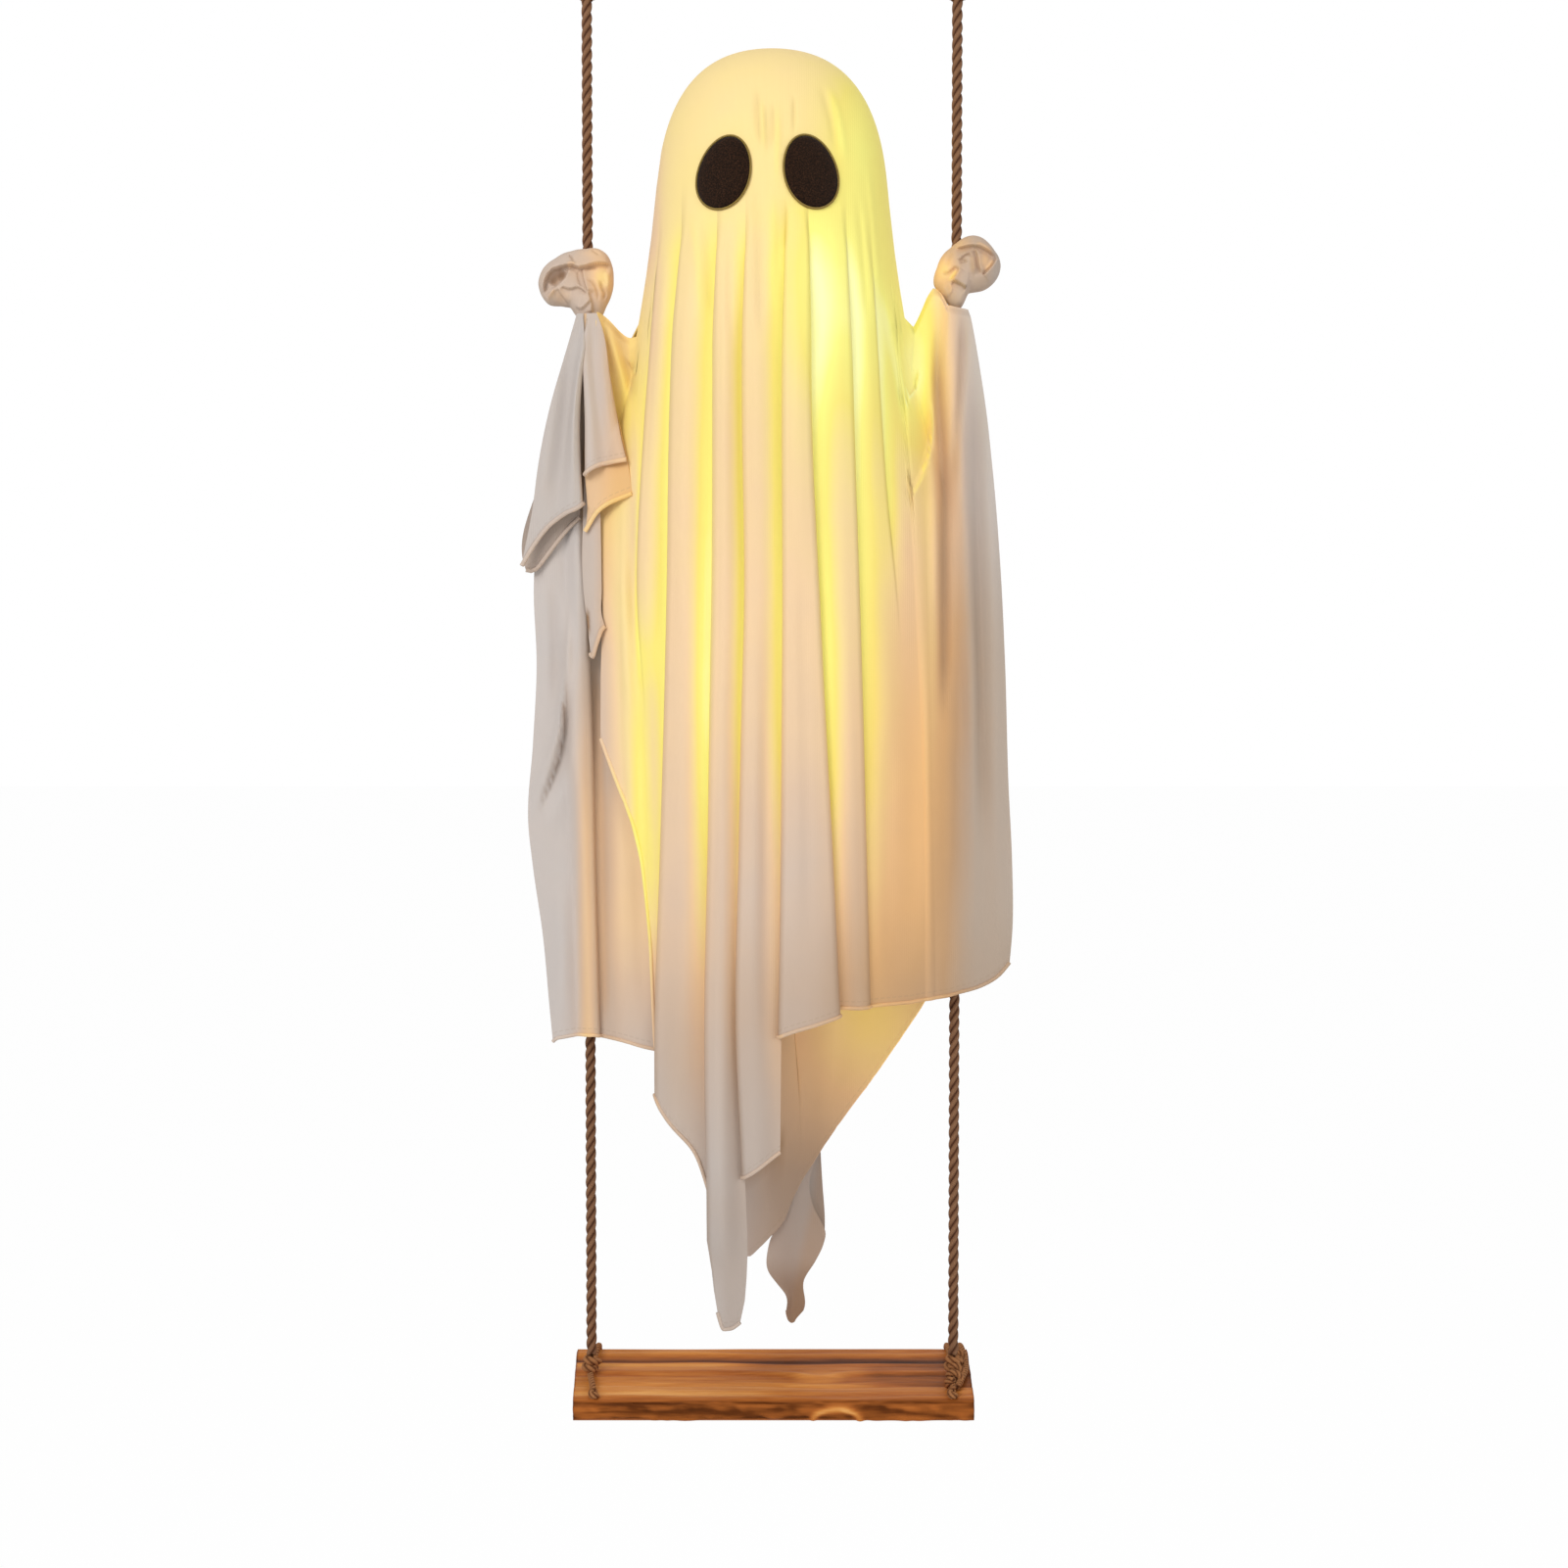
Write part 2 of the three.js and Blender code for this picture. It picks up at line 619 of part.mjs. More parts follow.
// Battery case at the foot of the spine: three cells, contacts, a sliding cover and a switch.
const cellDiameter = 14.2;
const cellLength = 50;
const cellPitch = 14.8;
const cellCount = 3;
const caseWall = 1.8;
const contactThickness = 0.8;
const coverThickness = 1.5;
const coverOverlap = 1.4;
const lipThickness = 1.2;
const headBlockHeight = 16;
const switchTravel = 4;
const switchWidth = 6;
const switchHeight = 5;
const switchDepth = 4;
function addBatteryCase() {
  const bayHalf = ((cellCount - 1) * cellPitch + cellDiameter) / 2 + fit;
  const bayBack = cellDiameter / 2 + fit;
  const bayTop = caseTopZ - headBlockHeight;
  const bayHeight = cellLength + 2 * (contactThickness + 2 * fit);
  const bayFoot = bayTop - bayHeight;
  const caseFoot = bayFoot - caseWall;
  const coverBack = -(cellDiameter / 2 + fit);
  const slotFront = coverBack - coverThickness - 2 * fit;
  const caseFront = slotFront - lipThickness;
  const caseHalf = bayHalf + coverOverlap + caseWall;
  const slotHalf = bayHalf + coverOverlap;
  const over = caseWall;
  let shell = toSolid(box(-caseHalf, caseHalf, caseFront, bayBack + caseWall, caseFoot, caseTopZ));
  const cuts = [
    box(-bayHalf, bayHalf, coverBack - over, bayBack, bayFoot, bayTop),
    box(-bayHalf, bayHalf, caseFront - over, coverBack, caseFoot - over, bayTop),
    box(-slotHalf, slotHalf, slotFront, coverBack, caseFoot - over, bayTop),
  ];
  cuts.forEach((cut) => { shell = shell.subtract(toSolid(cut)); });
  const socket = bar(0, 0, spineDiameter / 2 + fit, caseTopZ - caseSocketDepth, caseTopZ + over, 20);
  shell = shell.subtract(toSolid(socket));
  const switchX = caseHalf / 2;
  const slot0 = caseTopZ - headBlockHeight / 2 - (switchHeight + switchTravel) / 2;
  const slot1 = slot0 + switchHeight + switchTravel;
  const slotHalfWidth = switchWidth / 2;
  const room = box(
    switchX - slotHalfWidth - fit,
    switchX + slotHalfWidth + fit,
    caseFront - over,
    caseFront + switchDepth / 2 + fit,
    slot0 - fit,
    slot1 + fit,
  );
  shell = shell.subtract(toSolid(room));
  addPiece('battery_case', toGeometry(shell), materials.darkPlastic);
  const half = switchDepth / 2;
  const knobLeft = switchX - slotHalfWidth;
  const knobRight = switchX + slotHalfWidth;
  const knob = box(knobLeft, knobRight, caseFront - half, caseFront + half, slot0, slot0 + switchHeight);
  addPiece('switch_slider', knob, materials.clearPlastic);
  const cover0 = coverBack - fit - coverThickness;
  const coverHalf = slotHalf - fit;
  let cover = toSolid(box(-coverHalf, coverHalf, cover0, cover0 + coverThickness, caseFoot, bayTop - fit));
  const gripHalf = bayHalf / 2;
  const gripFoot = bayFoot + bayHeight / 8;
  const gripTop = gripFoot + lipThickness;
  const grip = box(-gripHalf, gripHalf, cover0 - lipThickness, cover0 + fit, gripFoot, gripTop);
  cover = cover.add(toSolid(grip));
  addPiece('battery_cover', toGeometry(cover), materials.darkPlastic);
  const low = bayFoot + fit;
  for (let i = 0; i < cellCount; i += 1) {
    const x = (i - (cellCount - 1) / 2) * cellPitch;
    const foot = low + contactThickness + fit;
    addPiece(`cell_${i + 1}`, bar(x, 0, cellDiameter / 2, foot, foot + cellLength, 20), materials.cell);
  }
  const contactHalf = bayHalf - 2 * fit;
  const contactDepth = cellDiameter / 4;
  const high = bayTop - fit - contactThickness;
  [['lower', low], ['upper', high]].forEach(([name, z]) => {
    const strip = box(-contactHalf, contactHalf, -contactDepth, contactDepth, z, z + contactThickness);
    addPiece(`contact_strip_${name}`, strip, materials.steel);
  });
}

// Hands: each corner of the sheet knotted round its rope, with a loose ear of cloth.
const knotWidth = 36;
const knotDepth = 32;
const knotHeight = 40;
const knotRise = 25;
const earRadius = 10;
const earThickness = 12;
const knotNeckRadius = 9;
const earTurn = THREE.MathUtils.degToRad(-12);
const knotShares = { left: [0.16, 1.15, -0.1], right: [-0.05, 0.8, 0.5] };
function addHand(name, side) {
  const [inShare, earOutShare, earUpShare] = knotShares[name];
  const x = side * (ropeX - inShare * ropeRadius * 4);
  const z = handNeckZ + knotRise;
  const lump = new THREE.SphereGeometry(0.5, 20, 14).rotateX(Math.PI / 2);
  lump.scale(knotWidth, knotDepth, knotHeight).translate(x, 0, z);
  const ear = new THREE.TorusGeometry(earRadius, earThickness / 2, 8, 20).rotateX(Math.PI / 2);
  ear.rotateZ(earTurn * side);
  ear.translate(x + (side * earOutShare * knotWidth) / 2, 0, z + (earUpShare * knotHeight) / 2);
  const neckTop = z - knotHeight / 4;
  const neck = new THREE.CylinderGeometry(knotNeckRadius, knotNeckRadius, neckTop - handNeckZ - fit, 18);
  neck.rotateX(Math.PI / 2).translate(side * ropeX, 0, (neckTop + handNeckZ + fit) / 2);
  let knot = toSolid(lump).add(toSolid(ear)).add(toSolid(neck));
  const bore = bar(side * ropeX, 0, ropeRadius + fit, handNeckZ - knotHeight, z + knotHeight, 20);
  knot = knot.subtract(toSolid(bore));
  addPiece(`hand_knot_${name}`, toGeometry(knot), materials.cloth);
}

// Screw hook and its flange on each side; the rope's eye hangs in the hook.
const hookWireDiameter = 4.4;
const hookBendRadius = 10;
const hookShankRise = 42;
const hookScrewLength = 18;
const flangeDiameter = 26;
const flangeThickness = 3;
function addHook(name, side) {
  const radius = hookWireDiameter / 2;
  const x = side * ropeX;
  const points = [];
  const bends = 14;
  for (let i = 0; i <= bends; i += 1) {
    const turn = mix(-Math.PI * 1.08, 0.12 * Math.PI, i / bends);
    const px = x + hookBendRadius * Math.cos(turn);
    points.push(new THREE.Vector3(px, 0, hookBendRadius + hookBendRadius * Math.sin(turn)));
  }
  const flangeFoot = hookShankRise - flangeThickness;
  const neck = flangeFoot - 2 * radius;
  points.push(new THREE.Vector3(x + hookBendRadius / 2, 0, mix(hookBendRadius, neck, 0.6)));
  points.push(new THREE.Vector3(x, 0, neck));
  points.push(new THREE.Vector3(x, 0, hookShankRise));
  points.push(new THREE.Vector3(x, 0, hookShankRise + hookScrewLength));
  addPiece(`screw_hook_${name}`, tube(points, radius, 8, 30), materials.steel);
  const plate = toSolid(bar(x, 0, flangeDiameter / 2, flangeFoot, hookShankRise, 28));
  const hole = bar(x, 0, radius + fit, flangeFoot - flangeThickness, hookShankRise + flangeThickness, 20);
  addPiece(`hook_flange_${name}`, toGeometry(plate.subtract(toSolid(hole))), materials.steel);
}

// Rope: an eye over the hook, a bound splice, then one straight length to the seat knot.
const eyeHeightBelow = 34;
const spliceLength = 34;
const spliceRadius = 8.8;
const spliceStep = 1;
const seatKnotRadius = 7.5;
const seatTopZ = -seatDrop;
const seatAxisZ = seatTopZ + seatKnotRadius + fit;
const eyeRadius = ropeRadius + hookWireDiameter / 2 + fit;
function addRope(name, side) {
  const x = side * ropeX;
  const legY = ropeRadius + fit;
  const spliceTop = -eyeHeightBelow;
  const spliceFoot = spliceTop - spliceLength;
  const points = [];
  const arcs = 8;
  points.push(new THREE.Vector3(x, -legY, spliceTop + fit));
  points.push(new THREE.Vector3(x, -legY, mix(spliceTop, 0, 0.35)));
  for (let i = 0; i <= arcs; i += 1) {
    const turn = mix(Math.PI, 0, i / arcs);
    points.push(new THREE.Vector3(x, eyeRadius * Math.cos(turn), eyeRadius * Math.sin(turn)));
  }
  points.push(new THREE.Vector3(x, legY, mix(spliceTop, 0, 0.35)));
  points.push(new THREE.Vector3(x, legY, spliceTop + fit));
  addPiece(`rope_eye_${name}`, tube(points, ropeRadius, 8, 26), materials.rope);
  const neckRadius = ropeRadius + spliceStep;
  const splice = [
    [0, spliceTop],
    [spliceRadius, spliceTop],
    [spliceRadius, mix(spliceTop, spliceFoot, 0.55)],
    [neckRadius, spliceFoot],
    [0, spliceFoot],
  ];
  addPiece(`rope_splice_${name}`, turned(splice, 18, x), materials.rope);
  const foot = seatAxisZ + seatKnotRadius + fit;
  addPiece(`rope_${name}`, bar(x, 0, ropeRadius, foot, spliceFoot - fit, 10), materials.rope);
}

// Swing seat: a plank with eased edges, a stop knot on each end and cord lashed round it.
const seatEdge = 3;
const lashDiameter = 5;
function addSeatBoard() {
  const halfDepth = seatDepth / 2;
  const foot = seatTopZ - seatThickness;
  const outline = [
    [-halfDepth, foot + seatEdge],
    [-halfDepth + seatEdge, foot],
    [halfDepth - seatEdge, foot],
    [halfDepth, foot + seatEdge],
    [halfDepth, seatTopZ - seatEdge],
    [halfDepth - seatEdge, seatTopZ],
    [-halfDepth + seatEdge, seatTopZ],
    [-halfDepth, seatTopZ - seatEdge],
  ];
  const shape = new THREE.Shape(outline.map(([y, z]) => new THREE.Vector2(y, z)));
  const form = new THREE.ExtrudeGeometry(shape, { depth: seatLength, bevelEnabled: false });
  form.rotateX(Math.PI / 2).rotateZ(Math.PI / 2);
  addPiece('seat_board', form.translate(-seatLength / 2, 0, 0), materials.wood);
}

function addLashing(name, side, turns) {
  const x = side * ropeX;
  const knot = new THREE.SphereGeometry(seatKnotRadius, 20, 12).translate(x, 0, seatAxisZ);
  addPiece(`seat_knot_${name}`, knot, materials.rope);
  const radius = lashDiameter / 2;
  const reach = radius + fit;
  const halfDepth = seatDepth / 2 + reach;
  const high = seatTopZ + reach;
  const low = seatTopZ - seatThickness - reach;
  const clear = seatKnotRadius + radius + fit;
  const corner = radius + seatEdge;
  const around = [
    [-halfDepth + corner, high],
    [-halfDepth + 0.3 * corner, high - 0.3 * corner],
    [-halfDepth, high - corner],
    [-halfDepth, low + corner],
    [-halfDepth + 0.3 * corner, low + 0.3 * corner],
    [-halfDepth + corner, low],
    [-halfDepth / 3, low],
    [halfDepth / 3, low],
    [halfDepth - corner, low],
    [halfDepth - 0.3 * corner, low + 0.3 * corner],
    [halfDepth, low + corner],
    [halfDepth, high - corner],
    [halfDepth - 0.3 * corner, high - 0.3 * corner],
    [halfDepth - corner, high],
  ];
  const pitch = clear;
  const points = [];
  for (let turn = 0; turn < turns; turn += 1) {
    const turnX = x + side * turn * pitch;
    points.push(new THREE.Vector3(turnX, turn === 0 ? -clear : clear, high));
    around.forEach(([y, z]) => points.push(new THREE.Vector3(turnX, y, z)));
  }
  const endY = turns > 1 ? halfDepth - 2 * corner : clear;
  points.push(new THREE.Vector3(x + side * (turns - 1) * pitch, endY, high));
  const path = new THREE.CatmullRomCurve3(points, false, 'centripetal');
  const gap = leastGap(path.getSpacedPoints(60 * turns), radius, 8 * lashDiameter);
  console.log(`seat lashing ${name}: least gap to itself ${gap.toFixed(2)} mm`);
  addPiece(`seat_lashing_${name}`, tube(points, radius, 6, 40 * turns), materials.rope);
}

addSheets();
addTurnedCorner();
addHeadForm();
addSpine();
addLampString();
addBatteryCase();
sides.forEach(([name, side]) => {
  addEye(name, side);
  addArmWire(name, side);
  addHand(name, side);
  addHook(name, side);
  addRope(name, side);
  addLashing(name, side, side < 0 ? 1 : 2);
});
addSeatBoard();

export default group;
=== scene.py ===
import math

import bpy
import numpy as np
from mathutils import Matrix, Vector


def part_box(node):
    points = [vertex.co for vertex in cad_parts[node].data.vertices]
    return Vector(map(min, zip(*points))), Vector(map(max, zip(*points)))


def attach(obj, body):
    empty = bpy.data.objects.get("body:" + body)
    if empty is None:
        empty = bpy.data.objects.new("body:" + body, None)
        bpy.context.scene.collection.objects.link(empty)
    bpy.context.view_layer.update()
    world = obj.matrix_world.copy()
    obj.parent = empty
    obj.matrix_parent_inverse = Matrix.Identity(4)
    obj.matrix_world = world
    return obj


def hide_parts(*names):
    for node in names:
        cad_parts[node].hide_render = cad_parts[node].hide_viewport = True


# Light-up sheet ghost on a hanging swing. Shapes are worked out in millimetres, +Z up, front
# towards -Y, and turned to metres as each mesh is made.
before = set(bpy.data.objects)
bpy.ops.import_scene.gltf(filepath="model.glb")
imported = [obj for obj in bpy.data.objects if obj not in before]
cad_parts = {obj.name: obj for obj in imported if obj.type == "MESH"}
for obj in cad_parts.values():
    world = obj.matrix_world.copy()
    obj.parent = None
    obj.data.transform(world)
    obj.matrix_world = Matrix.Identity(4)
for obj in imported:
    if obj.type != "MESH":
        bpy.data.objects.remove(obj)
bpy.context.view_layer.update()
scene = bpy.context.scene
mm = 0.001
sides = (("left", -1), ("right", 1))


def boxOf(node):
    # lowest and highest corner of a CAD node, in mm
    low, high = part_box(node)
    return np.array(low) / mm, np.array(high) / mm


ropeLow, ropeHigh = boxOf("rope_right")
ropeX = (ropeLow[0] + ropeHigh[0]) / 2
ropeRadius = (ropeHigh[0] - ropeLow[0]) / 2
crownZ = boxOf("front_sheet")[1][2]
seatLow, seatHigh = boxOf("seat_board")
print("frame loaded, rope at", round(float(ropeX), 1), "crown at", round(float(crownZ), 1))

# Camera: a metre and a half in front, looking a little down.
cameraForm = {"place": (9, -1450, -609.4), "lookDown": 2.0, "lens": 43.47, "sensor": 36, "near": 50, "far": 60000}
cameraData = bpy.data.cameras.new("camera")
cameraData.lens = cameraForm["lens"]
cameraData.sensor_width = cameraForm["sensor"]
cameraData.clip_start = cameraForm["near"] * mm
cameraData.clip_end = cameraForm["far"] * mm
camera = bpy.data.objects.new("camera", cameraData)
camera.location = [v * mm for v in cameraForm["place"]]
camera.rotation_euler = (math.radians(90 - cameraForm["lookDown"]), 0, 0)
scene.collection.objects.link(camera)
scene.camera = camera


def ease(t):
    # smooth step from 0 to 1
    t = np.clip(t, 0, 1)
    return t * t * (3 - 2 * t)


def easeUp(value, edge, over):
    # 0 up to an edge, 1 from so far over it
    return ease((value - edge) / over)


def easeDown(value, edge, over):
    # 0 down to an edge, 1 from so far under it
    return ease((edge - value) / over)


def mix(a, b, t):
    # a where t is 0, b where it is 1, straight between
    return a + (b - a) * t


def patch(x, z, middleX, middleZ, wide, tall):
    # a bell-shaped patch, 1 at its middle
    return np.exp(-((x - middleX) / wide) ** 2 - ((z - middleZ) / tall) ** 2)


def addPatches(value, x, z, spots, share=1):
    # the value with a patch added for each (x, z, wide, tall, gain)
    for *spot, gain in spots:
        value = value + gain * share * patch(x, z, *spot)
    return value


def circle(count, start=0.0):
    # angles once round, evenly spaced
    return np.linspace(start, start + 2 * np.pi, count, endpoint=False)


def smoothLine(places, values, at):
    # cubic through (place, value) pairs, flat beyond its ends; places rise
    places = np.asarray(places, float)
    values = np.asarray(values, float)
    slopes = np.gradient(values, places)
    i = np.clip(np.searchsorted(places, at) - 1, 0, len(places) - 2)
    gap = places[i + 1] - places[i]
    t = np.clip((at - places[i]) / gap, 0, 1)
    a = (1 + 2 * t) * (1 - t) ** 2
    b = t * t * (3 - 2 * t)
    c = t * (1 - t) ** 2 * gap
    d = -t * t * (1 - t) * gap
    return a * values[i] + b * values[i + 1] + c * slopes[i] + d * slopes[i + 1]


def linear(hexText):
    # sRGB hex to the linear colour that the nodes take
    c = np.array([int(hexText[i:i + 2], 16) / 255 for i in (1, 3, 5)])
    c = np.where(c <= 0.04045, c / 12.92, ((c + 0.055) / 1.055) ** 2.4)
    return (*c.tolist(), 1.0)


def gridFaces(rows, columns, closedAcross=False, closedDown=False, first=0):
    # quads of a grid of points, row by row, closed round either way if asked
    r, c = np.meshgrid(np.arange(rows if closedDown else rows - 1),
                       np.arange(columns if closedAcross else columns - 1), indexing="ij")
    nextR, nextC = (r + 1) % rows, (c + 1) % columns
    quads = np.stack([r * columns + c, nextR * columns + c, nextR * columns + nextC, r * columns + nextC], -1)
    return [tuple(q) for q in (quads.reshape(-1, 4) + first).tolist()]


def endFaces(rings, around, first=0):
    # a face that closes each end of a tube
    last = first + (rings - 1) * around
    return [tuple(range(first, first + around)), tuple(range(last, last + around))[::-1]]


def tubeFaces(rings, around, first=0):
    # quads between rings of points, and a face at each end
    return gridFaces(rings, around, closedAcross=True, first=first) + endFaces(rings, around, first)


def fan(middle, first, count):
    # triangles from a middle point to a ring of points
    return [(middle, first + i, first + (i + 1) % count) for i in range(count)]


def joinParts(parts):
    # several (points, faces, attributes) made one
    points, faces, attributes, count = [], [], {}, 0
    for partPoints, partFaces, partValues in parts:
        points.append(partPoints)
        faces += [tuple(i + count for i in face) for face in partFaces]
        count += len(partPoints)
        for key, values in partValues.items():
            attributes.setdefault(key, []).append(np.ravel(values))
    return np.concatenate(points), faces, {key: np.concatenate(values) for key, values in attributes.items()}


def putMesh(name, points, faces, material, attributes=None, flip=False):
    # points in mm, (n, 3); faces of any number of corners; attributes {name: value per point}, of which
    # u and v make a uv map
    values = dict(attributes or {})
    uv = [values.pop(key) for key in ("u", "v") if key in values]
    mesh = bpy.data.meshes.new(name)
    mesh.from_pydata((np.asarray(points, float) * mm).tolist(), [], [f[::-1] for f in faces] if flip else faces)
    for key, value in values.items():
        layer = mesh.attributes.new(key, "FLOAT", "POINT")
        layer.data.foreach_set("value", np.asarray(value, np.float32).ravel())
    if uv:
        corners = np.empty(len(mesh.loops), np.int32)
        mesh.loops.foreach_get("vertex_index", corners)
        layer = mesh.uv_layers.new(name="along")
        layer.data.foreach_set("uv", np.stack(uv, 1).astype(np.float32)[corners].ravel())
    mesh.polygons.foreach_set("use_smooth", np.ones(len(mesh.polygons), bool))
    mesh.materials.append(material)
    mesh.validate()
    mesh.update()
    piece = bpy.data.objects.new(name, mesh)
    scene.collection.objects.link(piece)
    return piece


def dress(piece, body, node):
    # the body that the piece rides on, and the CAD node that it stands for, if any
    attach(piece, body)
    if node:
        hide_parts(node)


def sharpenRims(mesh):
    # open edges keep their own normals once the thickness is added
    around = np.empty(len(mesh.loops), np.int32)
    mesh.loops.foreach_get("edge_index", around)
    sharp = np.bincount(around, minlength=len(mesh.edges)) == 1
    mesh.attributes.new("sharp_edge", "BOOLEAN", "EDGE").data.foreach_set("value", sharp)


def framesAlong(path):
    # unit tangent, side and rise at each point of a path, turned as little as possible
    tangent = np.gradient(path, axis=0)
    tangent /= np.linalg.norm(tangent, axis=1)[:, None]
    side = np.empty_like(path)
    start = np.array([0.0, -1.0, 0.0]) if abs(tangent[0][1]) < 0.9 else np.array([1.0, 0, 0])
    start = np.cross(tangent[0], start)
    side[0] = start / np.linalg.norm(start)
    for i in range(1, len(path)):
        s = side[i - 1] - tangent[i] * np.dot(side[i - 1], tangent[i])
        side[i] = s / np.linalg.norm(s)
    return tangent, side, np.cross(tangent, side)


def runOf(path):
    # length along a path up to each of its points
    return np.concatenate([[0], np.cumsum(np.linalg.norm(np.diff(path, axis=0), axis=1))])


def spaced(path, steps):
    # points evenly spaced along a path
    run = runOf(path)
    even = np.linspace(0, run[-1], steps)
    return np.stack([np.interp(even, run, path[:, k]) for k in range(3)], 1)


def pathThrough(points, steps):
    # smooth path through points, evenly spaced along its length; points closer than 0.01 mm count once
    points = np.asarray(points, float)
    points = points[np.concatenate([[True], np.linalg.norm(np.diff(points, axis=0), axis=1) > 0.01])]
    run = runOf(points)
    fine = np.linspace(0, run[-1], steps * 4)
    return spaced(np.stack([smoothLine(run, points[:, k], fine) for k in range(3)], 1), steps)


def ringsRound(side, rise, angles):
    # directions round each point of a path: side and rise turned by each angle
    return np.cos(angles)[:, None] * side[:, None] + np.sin(angles)[:, None] * rise[:, None]


def sweep(path, radius, count):
    # points of a round tube along a path
    _, side, rise = framesAlong(path)
    return (path[:, None] + radius * ringsRound(side, rise, circle(count))).reshape(-1, 3)


def turned(radii, heights, count, x=0):
    # a profile of radii and heights turned round an upright axis, closed at both ends
    angles = circle(count)
    radii, heights = np.asarray(radii)[:, None], np.asarray(heights)[:, None]
    points = np.stack([x + radii * np.cos(angles), radii * np.sin(angles), heights + 0 * angles], -1)
    return points.reshape(-1, 3), tubeFaces(len(radii), count)


# Materials
def connect(tree, node, inputs):
    # a link for each input given a socket, its plain value for any other
    for key, value in inputs.items():
        if isinstance(value, bpy.types.NodeSocket):
            tree.links.new(value, node.inputs[key])
        else:
            node.inputs[key].default_value = value


def addNode(tree, kind, inputs=None, out=0, **settings):
    # one shader node with its settings and inputs; gives the output named by out
    node = tree.nodes.new("ShaderNode" + kind)
    for key, value in settings.items():
        setattr(node, key, value)
    connect(tree, node, inputs or {})
    return node.outputs[out] if node.outputs else None


def rampOf(tree, fac, stops):
    # colour ramp through (place, hex) stops
    colour = addNode(tree, "ValToRGB", {"Fac": fac})
    ramp = colour.node.color_ramp
    while len(ramp.elements) < len(stops):
        ramp.elements.new(0.5)
    for element, (place, hexText) in zip(ramp.elements, stops):
        element.position = place
        element.color = linear(hexText)
    return colour


def newMaterial(name, **values):
    # a node material with one Principled shader, whose plain values are given by socket name
    material = bpy.data.materials.new(name)
    material.use_nodes = True
    shader = material.node_tree.nodes["Principled BSDF"]
    connect(material.node_tree, shader, {key.replace("_", " "): value for key, value in values.items()})
    return material, material.node_tree, shader


def coat(tree, shader, colour, height, strength, distance):
    # the shader's colour, and a bump of some strength and depth in metres
    bump = addNode(tree, "Bump", {"Height": height, "Strength": strength, "Distance": distance})
    connect(tree, shader, {"Base Color": colour, "Normal": bump})


def objectPlace(tree, scale=(1, 1, 1)):
    place = addNode(tree, "TexCoord", out="Object")
    return addNode(tree, "Mapping", {"Vector": place, "Scale": scale})


def alongPlace(tree, scale):
    place = addNode(tree, "UVMap", uv_map="along")
    return addNode(tree, "Mapping", {"Vector": place, "Scale": scale})


